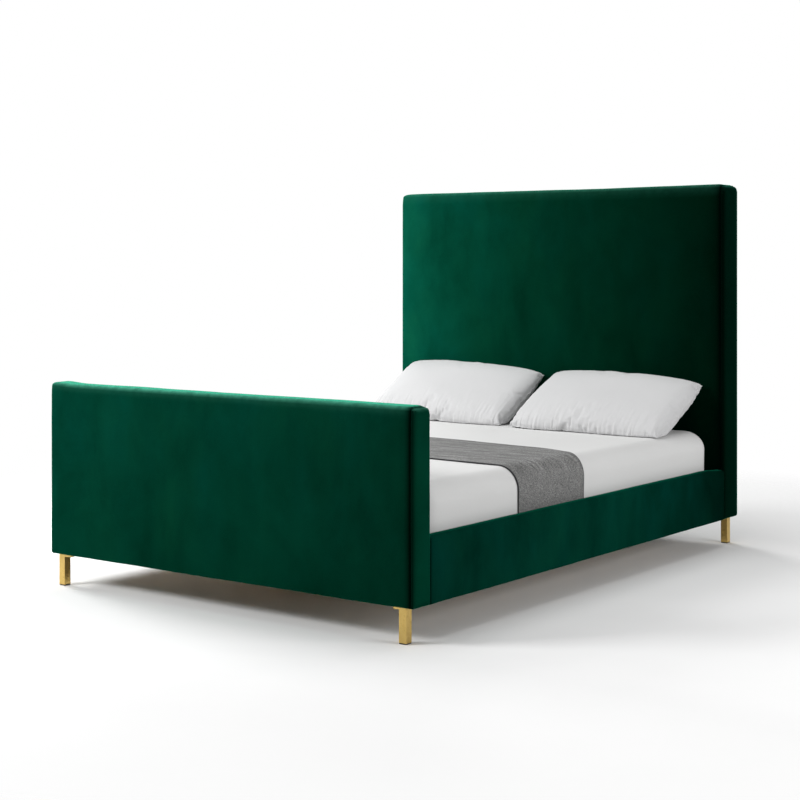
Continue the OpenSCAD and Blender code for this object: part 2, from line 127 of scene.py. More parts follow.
def ring(size, radii, inset, counts, steps):
    """Points round a rectangle about the origin, moved in by inset, from its low left corner."""
    half = [s / 2 - inset for s in size]
    r = [max(q - inset, 0.0) for q in radii]
    signs = [(-1, -1), (1, -1), (1, 1), (-1, 1)]
    points = []
    for i in range(4):
        arcs = []
        for c in (i, (i + 1) % 4):
            arcs.append((signs[c][0] * (half[0] - r[c]), signs[c][1] * (half[1] - r[c]), r[c]))
        (ca, cb, cr), (na, nb, nr) = arcs
        start = math.pi * (1 + i / 2)
        for k in range(steps + 1):
            t = start + math.pi / 2 * k / steps
            points.append((ca + cr * math.cos(t), cb + cr * math.sin(t)))
        t = start + math.pi / 2
        end = (na + nr * math.cos(t), nb + nr * math.sin(t))
        a, b = points[-1]
        n = counts[i % 2] + 1
        points += [(a + (end[0] - a) * k / n, b + (end[1] - b) * k / n) for k in range(1, n)]
    return points


def loft(name, stations, size, radii, counts, steps, place):
    """Joins rings: each station is a distance along, an inset and a mark."""
    rows = [[place(along, a, b) for a, b in ring(size, radii, inset, counts, steps)]
            for along, inset, _ in stations]
    return grid_mesh(name, rows, [mark for _, _, mark in stations], closed=True)


def read_mesh(mesh):
    co = np.empty(len(mesh.vertices) * 3)
    normals = np.empty(len(mesh.vertices) * 3)
    mesh.vertices.foreach_get("co", co)
    mesh.vertices.foreach_get("normal", normals)
    return co.reshape(-1, 3), normals.reshape(-1, 3)


def write_mesh(mesh, co):
    mesh.vertices.foreach_set("co", np.asarray(co, float).ravel())
    mesh.update()


def ripple(co, scale, seed, stretch=(1, 1, 1)):
    """Smooth noise from -1 to 1 at each point."""
    offset = Vector((seed * 7.3, seed * 3.1, seed * 5.7))
    grow = Vector(stretch) * scale
    places = (Vector((p[0] * grow[0], p[1] * grow[1], p[2] * grow[2])) for p in co)
    return np.array([noise.noise(place + offset) for place in places])


def ease(t):
    t = np.clip(t, 0, 1)
    return t * t * (3 - 2 * t)


def add_modifier(obj, kind, **values):
    modifier = obj.modifiers.new(kind.lower(), kind)
    for key, value in values.items():
        setattr(modifier, key, value)
    return modifier


def apply_modifiers(obj):
    """Puts the finished shape into the mesh, and takes the modifiers off."""
    graph = bpy.context.evaluated_depsgraph_get()
    mesh = bpy.data.meshes.new_from_object(obj.evaluated_get(graph))
    obj.modifiers.clear()
    obj.data = mesh


# ---- Materials ----


class Shader:
    """A Principled material with short ways to add nodes, named here without their ShaderNode."""

    def __init__(self, name, **values):
        self.mat = bpy.data.materials.new(name)
        self.mat.use_nodes = True
        self.nodes = self.mat.node_tree.nodes
        self.links = self.mat.node_tree.links
        self.main = self.nodes["Principled BSDF"]
        for key, value in values.items():
            self.main.inputs[key.replace("_", " ")].default_value = value
        self.place = self.nodes.new("ShaderNodeTexCoord").outputs["Object"]

    def node(self, kind, inputs=None, **values):
        node = self.nodes.new("ShaderNode" + kind)
        for key, value in values.items():
            setattr(node, key, value)
        for key, value in (inputs or {}).items():
            if isinstance(value, bpy.types.NodeSocket):
                self.links.new(value, node.inputs[key])
            else:
                node.inputs[key].default_value = value
        return node

    def spaced(self, scale=(1, 1, 1), turn=(0, 0, 0)):
        """Object coordinates, stretched and turned."""
        inputs = {0: self.place, "Scale": scale, "Rotation": turn}
        return self.node("Mapping", inputs).outputs[0]

    def noise(self, scale, detail=3, rough=0.55, where=None, distortion=0.0):
        inputs = {"Vector": where or self.place, "Scale": scale, "Detail": detail}
        inputs.update({"Roughness": rough, "Distortion": distortion})
        return self.node("TexNoise", inputs).outputs["Fac"]

    def ramp(self, value, stops):
        """A colour ramp: stops are (position, colour) with a colour or one grey number."""
        node = self.node("ValToRGB", {"Fac": value})
        items = node.color_ramp.elements
        while len(items) < len(stops):
            items.new(0.5)
        for item, (position, colour) in zip(items, stops):
            item.position = position
            item.color = (*colour, 1) if hasattr(colour, "__len__") else (colour, colour, colour, 1)
        return node.outputs["Color"]

    def mix(self, factor, a, b, blend="MIX"):
        a, b = [c if isinstance(c, bpy.types.NodeSocket) else (*c, 1) for c in (a, b)]
        inputs = {0: factor, 6: a, 7: b}
        return self.node("Mix", inputs, data_type="RGBA", blend_type=blend).outputs[2]

    def math(self, operation, a, b=0.0):
        return self.node("Math", {0: a, 1: b}, operation=operation).outputs[0]

    def mark(self):
        """How dark the mesh is painted, 1 in a seam or at the throw's edges and 0 away from them: in the
        velvet it is painted shade in seams and creases.
        """
        return self.node("Attribute", attribute_name="mark").outputs["Fac"]

    def facing(self):
        """The way the surface looks in the world: outputs X, Y and Z."""
        normal = self.node("NewGeometry").outputs["Normal"]
        return self.node("SeparateXYZ", {0: normal}).outputs

    def bump(self, height, strength, distance, under=None):
        inputs = {"Height": height, "Strength": strength, "Distance": distance}
        if under:
            inputs["Normal"] = under
        return self.node("Bump", inputs).outputs[0]

    def done(self, colour=None, roughness=None, normal=None):
        for key, value in (("Base Color", colour), ("Roughness", roughness), ("Normal", normal)):
            if value is not None:
                self.links.new(value, self.main.inputs[key])
        return self.mat


# The velvet's greens: the pile in its two depths, cooler and warmer brushed strokes, the nap's painted
# highlight and the seams' painted shade
PILE_DEEP = (0.0004, 0.0300, 0.0155)
PILE_FULL = (0.0008, 0.0470, 0.0250)
STROKE_COOL = (0.0010, 0.068, 0.043)
STROKE_WARM = (0.0030, 0.072, 0.034)
# Painted highlight: the paler nap on upward faces and along left-facing edges
PAINTED_NAP_HIGHLIGHT = (0.085, 0.400, 0.270)
# Painted shade that fills the seams' valleys
SEAM_PAINTED_SHADE = (0.0001, 0.0012, 0.0007)
# Faces turned backwards take this even brightness in place of the painted shading
BACK_SHADE = 0.62


def velvet_material(name, rim, sheen, mottle, axis, painted_shading, side=None):
    """Short green pile: soft brushed patches, painted seam shade, and a painted highlight on upward faces.

    Rim is the strength of that painted highlight, which also lies along left-facing edges. The shading list
    is
    painted shade: (place in metres, brightness, blueness) along an axis, light where lamps fall and dark away
    from them. Mottle is how strongly paler strokes stand out, and side is a painted-shade brightness for
    right-hand faces, if they differ.
    """
    s = Shader(name, Sheen_Weight=sheen, Sheen_Roughness=0.26, Sheen_Tint=(0.02, 0.60, 0.34, 1),
               Specular_IOR_Level=0.0)
    patches = s.noise(2.4, 4, 0.6, distortion=0.6)
    strokes = s.noise(6.5, 5, 0.62, where=s.spaced((1.0, 1.0, 0.5)), distortion=0.3)
    pile = s.noise(420.0, 2, 0.7)
    tone = s.ramp(patches, [(0.30, PILE_DEEP), (0.70, PILE_FULL)])
    warm = s.ramp(s.noise(3.7, 3, 0.6, where=s.spaced((1.0, 1.0, 0.7))), [(0.35, 0.0), (0.65, 1.0)])
    stroke = s.mix(warm, STROKE_COOL, STROKE_WARM)
    worked = s.mix(s.ramp(strokes, [(0.35, 0.0), (0.75, mottle)]), tone, stroke)
    fine = s.mix(0.35, worked, s.ramp(pile, [(0.25, 0.3), (0.75, 1.0)]), "MULTIPLY")
    # Painted shade: the shading list's brightness and blueness, laid along the axis
    along = s.node("VectorMath", {0: s.place, 1: axis}, operation="DOT_PRODUCT").outputs["Value"]
    low, high = painted_shading[0][0], painted_shading[-1][0]
    share = s.math("MULTIPLY", s.math("SUBTRACT", along, low), 1 / (high - low))
    shade = s.ramp(share, [((p - low) / (high - low), (v, v, v * blue)) for p, v, blue in painted_shading])
    facing = s.facing()
    # Faces turned backwards take the even BACK_SHADE instead of the painted shade
    shade = s.mix(s.ramp(facing["Y"], [(0.2, 0.0), (0.6, 1.0)]), shade, (BACK_SHADE,) * 3)
    # Painted shade on right-hand faces: the side brightness, where one is given
    if side is not None:
        shade = s.mix(s.ramp(facing["X"], [(0.5, 0.0), (0.85, 1.0)]), shade, (side,) * 3)
    fine = s.mix(1.0, fine, shade, "MULTIPLY")
    # Painted highlight: a paler nap where faces turn up or face left, as if lit from above and from the left
    brushed = s.ramp(s.noise(38.0, 3, 0.6), [(0.3, 0.55 * rim), (0.7, rim)])
    leftward = s.math("MULTIPLY", facing["X"], -1.0)
    painted_left_rim = s.ramp(leftward, [(0.55, 0.0), (0.72, 0.5), (0.84, 0.5), (0.97, 0.0)])
    painted_highlight_share = s.math("MAXIMUM", s.ramp(facing["Z"], [(0.05, 0.0), (0.60, 0.45), (1.0, 1.0)]), painted_left_rim)
    raised = s.mix(s.math("MULTIPLY", painted_highlight_share, brushed), fine, PAINTED_NAP_HIGHLIGHT)
    # Painted shade: near-black where the mark is, in seams and creases
    colour = s.mix(s.mark(), raised, SEAM_PAINTED_SHADE)
    rough = s.ramp(strokes, [(0.3, 0.9), (0.8, 0.75)])
    soft = s.bump(strokes, 0.18, 4 * MM)
    return s.done(colour, rough, s.bump(pile, 0.35, 0.5 * MM, soft))


def cotton_material(name, low, high, weave=1.0):
    """Smooth white bed linen: a fine even weave and a faint unevenness."""
    s = Shader(name, Sheen_Weight=0.12, Sheen_Roughness=0.5, Specular_IOR_Level=0.22)
    cloudy = s.noise(3.0, 3)
    warp = s.noise(900.0 * weave, 1, 0.5, where=s.spaced((1, 0.35, 1)))
    weft = s.noise(900.0 * weave, 1, 0.5, where=s.spaced((0.35, 1, 1)))
    threads = s.math("ADD", warp, weft)
    colour = s.mix(cloudy, low, high)
    shaded = s.mix(0.10, colour, s.ramp(threads, [(0.7, 0.55), (1.2, 1.0)]), "MULTIPLY")
    creases = s.bump(s.noise(9.0, 4, 0.6, distortion=0.8), 0.10, 3 * MM)
    rough = s.ramp(cloudy, [(0.3, 0.82), (0.7, 0.92)])
    return s.done(shaded, rough, s.bump(threads, 0.25, 0.25 * MM, creases))


# The knit's greys
KNIT_DARK = (0.115, 0.115, 0.113)
KNIT_MIDDLE = (0.205, 0.205, 0.202)
KNIT_PALE = (0.31, 0.31, 0.306)
# A darker grey laid along both long edges
KNIT_EDGE_DARK = (0.030, 0.030, 0.032)


def throw_material():
    """Heather grey knit: pale and dark fibres, drawn out across the bed where it lies flat."""
    s = Shader("throw_heather", Sheen_Weight=0.05, Sheen_Roughness=0.5, Specular_IOR_Level=0.05)
    streaks = s.noise(60.0, 4, 0.65, where=s.spaced((0.10, 1.0, 0.25)))
    speckle = s.noise(330.0, 3, 0.75, where=s.spaced((0.6, 1.0, 0.9)))
    fibres = s.noise(1200.0, 2, 0.7)
    drawn = s.ramp(streaks, [(0.30, KNIT_DARK), (0.50, KNIT_MIDDLE), (0.70, KNIT_PALE)])
    lying = s.ramp(s.facing()["Z"], [(0.3, 0.15), (0.9, 1.0)])
    base = s.mix(lying, KNIT_MIDDLE, drawn)
    flecks = s.ramp(speckle, [(0.36, 0.25), (0.50, 0.85), (0.66, 2.05)])
    spotted = s.mix(0.85, base, flecks, "MULTIPLY")
    furry = s.mix(0.4, spotted, s.ramp(fibres, [(0.2, 0.35), (0.8, 1.35)]), "MULTIPLY")
    # The mark darkens both long edges
    colour = s.mix(s.mark(), furry, KNIT_EDGE_DARK)
    knit = s.bump(speckle, 0.30, 0.8 * MM)
    rough = s.ramp(speckle, [(0.3, 0.95), (0.7, 0.85)])
    return s.done(colour, rough, s.bump(fibres, 0.35, 0.4 * MM, knit))


def brass_material():
    """Satin gold plating with faint drawn lines down the tube."""
    s = Shader("brass_satin", Metallic=1.0, Specular_IOR_Level=0.5)
    lines = s.noise(700.0, 3, 0.6, where=s.spaced((1.0, 1.0, 0.02)))
    haze = s.noise(45.0, 3, 0.6)
    colour = s.mix(haze, (0.58, 0.385, 0.105), (0.74, 0.53, 0.19))
    rough = s.ramp(s.math("ADD", lines, haze), [(0.7, 0.20), (1.3, 0.34)])
    return s.done(colour, rough, s.bump(lines, 0.06, 0.1 * MM))


def wood_material(name, pale, dark, axis):
    """Sawn softwood: grain that runs along one axis, with fine pores."""
    s = Shader(name, Specular_IOR_Level=0.25)
    stretch = [14.0, 14.0, 14.0]
    stretch[axis] = 0.9
    fine = [1.0, 1.0, 1.0]
    fine[axis] = 0.02
    grain = s.noise(1.0, 6, 0.6, where=s.spaced(stretch), distortion=2.2)
    pores = s.noise(650.0, 3, 0.7, where=s.spaced(fine))
    figure = s.ramp(grain, [(0.30, pale), (0.52, dark), (0.60, pale), (0.78, dark)])
    colour = s.mix(0.30, figure, s.ramp(pores, [(0.3, 0.45), (0.6, 1.0)]), "MULTIPLY")
    rough = s.ramp(pores, [(0.3, 0.75), (0.7, 0.55)])
    return s.done(colour, rough, s.bump(pores, 0.25, 0.3 * MM))


def board_material(name, pale, dark):
    """Sheet wood: fibres lying every way."""
    s = Shader(name, Specular_IOR_Level=0.25)
    fibres = s.noise(140.0, 5, 0.7, distortion=1.5)
    colour = s.mix(fibres, dark, pale)
    return s.done(colour, s.ramp(fibres, [(0.3, 0.8), (0.7, 0.6)]), s.bump(fibres, 0.2, 0.3 * MM))


def foam_material(name, pale, dark):
    """Open-celled foam."""
    s = Shader(name, Specular_IOR_Level=0.1)
    cells = s.node("TexVoronoi", {"Vector": s.place, "Scale": 520.0}).outputs["Distance"]
    colour = s.mix(cells, dark, pale)
    return s.done(colour, s.ramp(s.noise(30.0), [(0.3, 0.95), (0.7, 0.85)]), s.bump(cells, 0.5, 0.6 * MM))


def plated_material(name, low, high):
    """Plated metal with a faint mottle."""
    s = Shader(name, Metallic=1.0)
    mottle = s.noise(160.0, 4, 0.65)
    rough = s.ramp(mottle, [(0.3, 0.28), (0.7, 0.5)])
    return s.done(s.mix(mottle, low, high), rough, s.bump(mottle, 0.05, 0.1 * MM))


def plastic_material(name, low, high):
    """Moulded plastic or powder paint with an orange-peel surface."""
    s = Shader(name, Specular_IOR_Level=0.4)
    peel = s.noise(520.0, 2, 0.5)
    rough = s.ramp(s.noise(60.0), [(0.3, 0.42), (0.7, 0.6)])
    return s.done(s.mix(peel, low, high), rough, s.bump(peel, 0.12, 0.15 * MM))


def webbing_material():
    """Woven strap: ribs across its length."""
    s = Shader("webbing", Specular_IOR_Level=0.2)
    ribs = s.node("TexWave", {"Vector": s.place, "Scale": 160.0, "Distortion": 0.4},
                  bands_direction="Y").outputs["Fac"]
    colour = s.mix(ribs, (0.38, 0.35, 0.29), (0.62, 0.59, 0.52))
    return s.done(colour, s.ramp(s.noise(80.0), [(0.3, 0.9), (0.7, 0.8)]), s.bump(ribs, 0.6, 0.4 * MM))


def quilted_material():
    """Mattress ticking: a woven cover with a small raised lattice."""
    s = Shader("ticking", Sheen_Weight=0.1, Specular_IOR_Level=0.2)
    waves = []
    for turn in (0.785, -0.785):
        inputs = {"Vector": s.spaced(turn=(0, 0, turn)), "Scale": 9.0}
        waves.append(s.node("TexWave", inputs).outputs["Fac"])
    lattice = s.math("MULTIPLY", *waves)
    colour = s.mix(lattice, (0.60, 0.60, 0.57), (0.80, 0.80, 0.77))
    fine = s.bump(s.noise(800.0, 2), 0.2, 0.3 * MM)
    return s.done(colour, s.ramp(lattice, [(0.2, 0.9), (0.8, 0.8)]), s.bump(lattice, 0.5, 2 * MM, fine))


# Painted light in each velvet: after the name come the painted highlight's strength, sheen, mottle and axis,
# then painted shade along the axis (the rails darken towards their ends, most at the headboard; the headboard
# from left to right; the footboard from its top left to its lower right), and for the boards a painted
# brightness of their right-hand faces
VELVET = velvet_material("velvet_green", 0.0, 0.25, 0.9, (0, 1, 0),
                         [(-1.1, 0.58, 1.2), (-0.3, 0.70, 1.2), (0.3, 0.70, 1.2), (0.7, 0.47, 1.2),
                          (1.0, 0.14, 1.2)])
VELVET_HEAD = velvet_material("velvet_green_head", 0.30, 0.7, 0.6, (1, 0, 0),
                              [(-0.8, 1.60, 1.1), (-0.45, 0.98, 1.0), (0.0, 0.56, 0.92), (0.4, 0.36, 0.9),
                               (0.7, 0.20, 0.88), (0.8, 0.12, 0.88)], 0.10)
VELVET_FOOT = velvet_material("velvet_green_foot", 0.85, 0.8, 0.6, (0.35, 0, -0.94),
                              [(-0.957, 1.20, 1.08), (-0.39, 0.90, 1.02), (0.175, 0.64, 1.0)], 0.85)
SHEET = cotton_material("cotton_sheet", (0.62, 0.62, 0.615), (0.67, 0.67, 0.665))
CASE = cotton_material("cotton_case", (0.535, 0.535, 0.54), (0.575, 0.575, 0.58), 1.2)
THROW = throw_material()
BRASS = brass_material()
PINE = ((0.64, 0.45, 0.25), (0.47, 0.30, 0.145))
ZINC = plated_material("zinc_steel", (0.50, 0.51, 0.52), (0.66, 0.66, 0.67))
BRASS_INSERT = plated_material("brass_insert", (0.52, 0.36, 0.15), (0.68, 0.5, 0.24))
BLACK_METAL = plastic_material("black_powder_paint", (0.012, 0.012, 0.013), (0.028, 0.028, 0.030))
BLACK_PLASTIC = plastic_material("black_plastic", (0.010, 0.010, 0.010), (0.022, 0.022, 0.022))
PINE_X = wood_material("pine_across", *PINE, 0)
PINE_Y = wood_material("pine_lengthwise", *PINE, 1)
PINE_Z = wood_material("pine_upright", *PINE, 2)
POPLAR = wood_material("poplar_slat", (0.70, 0.53, 0.33), (0.55, 0.38, 0.20), 0)
PLY = board_material("plywood", (0.60, 0.42, 0.24), (0.40, 0.25, 0.12))
HARDBOARD = board_material("hardboard", (0.24, 0.12, 0.055), (0.14, 0.065, 0.03))
FOAM = foam_material("foam_cream", (0.74, 0.66, 0.44), (0.50, 0.42, 0.24))
SPRINGS = foam_material("spring_unit", (0.60, 0.62, 0.66), (0.40, 0.42, 0.46))

# ---- CAD nodes that stay, by their finish ----

FINISHES = [
    (PINE_X, ["headboard_sill", "footboard_sill", "headboard_middle_rail", "headboard_top_rail",
              "footboard_top_rail"]),
    (PINE_Y, ["left_rail_ledger", "right_rail_ledger", "centre_beam"]),
    (PINE_Z, ["headboard_left_stile", "headboard_right_stile", "footboard_left_stile",
              "footboard_right_stile", "headboard_back_frame"]),
    (PLY, ["headboard_front_panel", "footboard_outer_panel", "footboard_inner_panel", "left_rail_board",
           "right_rail_board"]),
    (HARDBOARD, ["headboard_back_panel"]),
    (BRASS, ["left_front_leg", "right_front_leg", "left_rear_leg", "right_rear_leg"]),
    (BLACK_PLASTIC, ["leg_glides"]),
    (BLACK_METAL, ["foot_centre_leg", "middle_centre_leg", "head_centre_leg"]),
    (ZINC, ["rail_brackets", "beam_hangers"]),
    (BRASS_INSERT, ["rail_bolt_inserts"]),
    (POPLAR, ["slats"]),
    (webbing_material(), ["slat_straps"]),
    (SPRINGS, ["mattress_spring_core"]),
    (FOAM, ["mattress_comfort_foam"]),
    (quilted_material(), ["mattress_ticking"]),
]

# How far some nodes' edges are eased, in millimetres, and the legs' edges
EDGES = {"slats": 2.0, "centre_beam": 2.0, "left_rail_ledger": 1.5, "right_rail_ledger": 1.5,
         "rail_brackets": 0.6, "beam_hangers": 0.6, "leg_glides": 0.4, "slat_straps": 0.2}
LEG_EDGE = 0.9


def ease_edges(obj, width):
    add_modifier(obj, "WELD", merge_threshold=0.01 * MM)
    add_modifier(obj, "BEVEL", width=width * MM, segments=3, limit_method="ANGLE",
                 angle_limit=math.radians(40), harden_normals=False)
    add_modifier(obj, "WEIGHTED_NORMAL", keep_sharp=False)


def finish_cad_nodes():
    """Gives every kept node its finish, and eases its machined edges."""
    for material, names in FINISHES:
        for name in names:
            obj = frame["nodes"][name]
            obj.data.materials.clear()
            obj.data.materials.append(material)
            width = LEG_EDGE if name.endswith("_leg") else EDGES.get(name)
            if width:
                ease_edges(obj, width)


# ---- Velvet boards and rails ----

# The ends of a board, in millimetres: distance past the side panel's plane, inset from the wrap's faces.
# On the right the wrap rolls down into a seam on the front, and the side panel's own cloth swells up again
# and turns the corner. On the left a fuller roll turns the corner, and the seam lies round it.
ROLL_RIGHT = [(-36.0, 0.0), (-30.0, 0.15), (-25.0, 0.6), (-21.0, 1.3), (-18.0, 2.3), (-15.8, 3.6),
              (-14.2, 5.0), (-13.0, 5.8), (-11.9, 4.9), (-10.6, 3.6), (-8.8, 2.7), (-6.8, 2.6), (-4.8, 3.3),
              (-3.0, 4.8), (-1.6, 6.9), (-0.6, 9.6), (0.0, 13.0), (0.4, 17.0), (0.7, 22.0), (0.9, 29.0),
              (1.0, 38.0)]
ROLL_LEFT = [(-60.0, 0.0), (-48.0, 0.25), (-38.0, 0.7), (-29.0, 1.5), (-21.0, 2.7), (-14.5, 4.5),
             (-9.5, 6.6), (-5.8, 9.0), (-3.0, 12.0), (-1.2, 15.6), (-0.6, 19.0), (-1.4, 21.5), (-3.4, 23.0),
             (-1.6, 24.5), (-0.2, 27.0), (0.4, 30.0), (0.8, 34.0), (1.0, 38.0)]
# Which point of each lies deepest in its seam
SEAM_RIGHT = 7
SEAM_LEFT = 12
# How many points the left roll has before it turns in towards its seam
ROUND_LEFT = 11
# A board this deep has the whole left roll, and a thinner one less of it
FULL_DEPTH = 0.138
# Where cloth lies straight on timber, the right and left ends turn by a small radius, in millimetres, which
# starts so far before the side panel's plane
FIRM_RADIUS = (8.0, 12.0)
FIRM_START = (-8.0, -16.0)
# How far foam draws in the right-hand top corners
CORNER_REACH = 15 * MM
# How far the cloth behind stands off the timber
BACK_EASE = 1.6 * MM


def left_roll(depth):
    """The left end's points, smaller on a thin board."""
    fullness = min(1.0, depth / FULL_DEPTH)
    return [(past * fullness, inset * fullness) for past, inset in ROLL_LEFT]


def board_end(points, seam, before, after, half, depth):
    """Stations of one end, with painted shade in the seam's valley fading over before and after, in
    millimetres.
    """
    run = [0.0]
    for here, there in zip(points, points[1:]):
        run.append(run[-1] + math.dist(here, there))
    stations = []
    for (past, inset), at in zip(points, run):
        off = at - run[seam]
        fade = (-off / before) ** 1.5 if off < 0 else (off / after) ** 1.7
        # The mark here is painted shade in the seam's valley
        stations.append((half + past * MM, inset * MM, 0.95 * math.exp(-fade)))
    return stations + [(half + 1.1 * MM, depth / 2, 0.0)]


def board_stations(width, depth, count):
    """From the middle of one side panel, round the wrap, to the middle of the other."""
    half = width / 2
    left = board_end(left_roll(depth), SEAM_LEFT, 3.0, 5.0, half, depth)
    right = board_end(ROLL_RIGHT, SEAM_RIGHT, 16.0, 15.0, half, depth)
    body = [(x, 0.0, 0.0) for x in np.linspace(-half + 0.072, half - 0.060, count)]
    # A faint painted seam shade begins at this station
    body += [(half - 0.048, 0.0, 0.05)]
    return [(-x, i, m) for x, i, m in reversed(left)] + body + right


def firm_edges(co, low, high, firm_back):
    """Keeps the ends at full size to a small radius below, and behind where the cloth lies on timber."""
    on_right = co[:, 0] > 0
    past = (np.abs(co[:, 0]) - high[0]) / MM
    right = np.interp(past, *zip(*ROLL_RIGHT))
    left = np.interp(past, *zip(*left_roll(high[1] - low[1])[:ROUND_LEFT]))
    inset = np.where(on_right, right, left) * MM
    radius = np.where(on_right, *FIRM_RADIUS)
    into = np.clip(past - np.where(on_right, *FIRM_START), 0, radius - 0.5)
    round_off = (radius - np.sqrt(radius ** 2 - into ** 2)) * MM
    wrap = past < -0.7
    for axis, way in ([(1, 1)] if firm_back else []) + [(2, -1)]:
        middle, half = (low[axis] + high[axis]) / 2, (high[axis] - low[axis]) / 2
        grow = (half - round_off) / (half - inset)
        off = co[:, axis] - middle
        co[:, axis] = np.where(wrap & (off * way > 0), middle + off * grow, co[:, axis])
    return co


def soften_corner(co, high, reach):
    """Draws in the right-hand top corner, seen from the front, as foam under tight cloth does."""
    x, _, z = co.T
    past_x, past_z = x - (high[0] - reach), z - high[2] + reach
    inside = (past_x > 0) & (past_z > 0)
    pull = np.maximum(past_x, past_z) / np.maximum(np.hypot(past_x, past_z), 1e-9)
    x[inside] = (high[0] - reach + past_x * pull)[inside]
    z[inside] = (high[2] - reach + past_z * pull)[inside]
    return co


def tighten(obj, amount, seed, hold):
    """Small, slow unevenness of foam under a stretched cover, by a share that hold gives each point."""
    co, normals = read_mesh(obj.data)
    slow = ripple(co, 3.1, seed) + 0.45 * ripple(co, 9.0, seed + 1)
    lift = amount * MM * (slow + 0.16 * ripple(co, 26.0, seed + 2)) * hold(co)
    write_mesh(obj.data, co + normals * lift[:, None])


def corner_tucks(obj, low, high, seed):
    """Short radiating tucks where the side panel's seam turns a top corner."""
    co, normals = read_mesh(obj.data)
    near_end = np.exp(-((co[:, 0] - high[0] + 14 * MM) / (16 * MM)) ** 2)
    for seam in (low[1] + 12 * MM, high[1] - 22 * MM):
        dy, dz = co[:, 1] - seam, co[:, 2] - (high[2] - 16 * MM)
        far = np.hypot(dy, dz)
        fan = np.sin(9 * np.arctan2(dz, dy) + seed) * np.exp(-((far - 18 * MM) / (22 * MM)) ** 2)
        co += normals * (0.7 * MM * fan * near_end * (dz > -0.02))[:, None]
    write_mesh(obj.data, co)


def lean_back(co, low, high, reach, amount):
    """Lets the front of a board roll back gently towards its top."""
    front = co[:, 1] < (low[1] + high[1]) / 2
    rise = np.clip((co[:, 2] - high[2] + reach) / reach, 0, 1)
    co[:, 1] += np.where(front, amount * rise ** 2, 0.0)
    return co


def upholstered_board(name, low, high, radii, counts, columns, seed, material, firm_back, replaced):
    """A board's padded skin: the wrap from side panel to side panel, with both panels and their seams."""
    middle, size = middle_and_size(low, high)
    mesh = loft(name, board_stations(size[0], size[1], columns), size[1:], radii, counts, 7,
                lambda x, y, z: (x, middle[1] + y, middle[2] + z))
    obj = make_object(name, mesh, "bed_frame", material)
    co, _ = read_mesh(mesh)
    write_mesh(mesh, soften_corner(firm_edges(co, low, high, firm_back), high, CORNER_REACH))
    corner_tucks(obj, low, high, seed)
    on_timber = 0.15 if firm_back else 1.0
    tighten(obj, 1.3, seed, lambda p: on_timber + (1 - on_timber) * ease((high[1] - p[:, 1]) / 0.03))
    co, _ = read_mesh(mesh)
    if firm_back:
        co[:, 1] += BACK_EASE * ease((co[:, 1] - high[1] + 0.02) / 0.015)
    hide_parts(*replaced)
    return mesh, co


def headboard():
    """Its top leans back, its left edge swells outwards, and its top rises to the right."""
    low, high = HEAD_LO, HEAD_HI
    mesh, co = upholstered_board("headboard_upholstery", low, high, (8 * MM, 15 * MM, 34 * MM, 15 * MM),
                                 (6, 70), 74, 1.0, VELVET_HEAD, True,
                                 ["headboard_cover", "headboard_foam"])
    x, _, z = lean_back(co, low, high, 60 * MM, 9 * MM).T
    x -= 3 * MM + 11 * MM * ease((low[0] + 0.15 - x) / 0.15)
    z += 4 * MM * ease((z - high[2] + 0.09) / 0.06) * ease((x - 0.2) / 0.5)
    write_mesh(mesh, co)


def footboard():
    """Its padded top stands proud of the timber, most at the left."""
    low, high = FOOT_LO, FOOT_HI
    mesh, co = upholstered_board("footboard_upholstery", low, high, (7 * MM, 6 * MM, 30 * MM, 14 * MM),
                                 (5, 40), 74, 2.0, VELVET_FOOT, False,
                                 ["footboard_cover", "footboard_outer_foam", "footboard_inner_foam"])
    x, _, z = lean_back(co, low, high, 50 * MM, 4 * MM).T
    for rise in (5 * MM, 5 * MM * ease((low[0] + 0.12 - x) / 0.10)):
        z += rise * ease((z - high[2] + 0.08) / 0.06)
    x -= 3 * MM * ease((low[0] + 0.15 - x) / 0.15)
    write_mesh(mesh, co)


# Where a rail meets a board: how far from it in millimetres, and how much painted shade lies in the crease
RAIL_END = [(-12.0, 0.8), (-9.0, 0.8), (-7.0, 0.8), (-5.0, 0.75), (-3.0, 0.6), (-0.5, 0.4), (3.0, 0.2),
            (7.0, 0.06), (11.0, 0.0)]
# How far a rail is pressed into a board, and how far its outer face is drawn in over the same length
RAIL_PRESS = 12 * MM
RAIL_TUCK = 6 * MM
RAIL_CROWN = 1.6 * MM
# How far the top of a rail dips to the headboard, and over which length
RAIL_DIP = 8 * MM
DIP_LENGTH = 0.14


def from_boards(co, reach):
    """From 0 at both end boards to 1 beyond a reach from them."""
    y = co[:, 1]
    return ease((y - FOOT_IN) / reach) * ease((HEAD_IN - y) / reach)


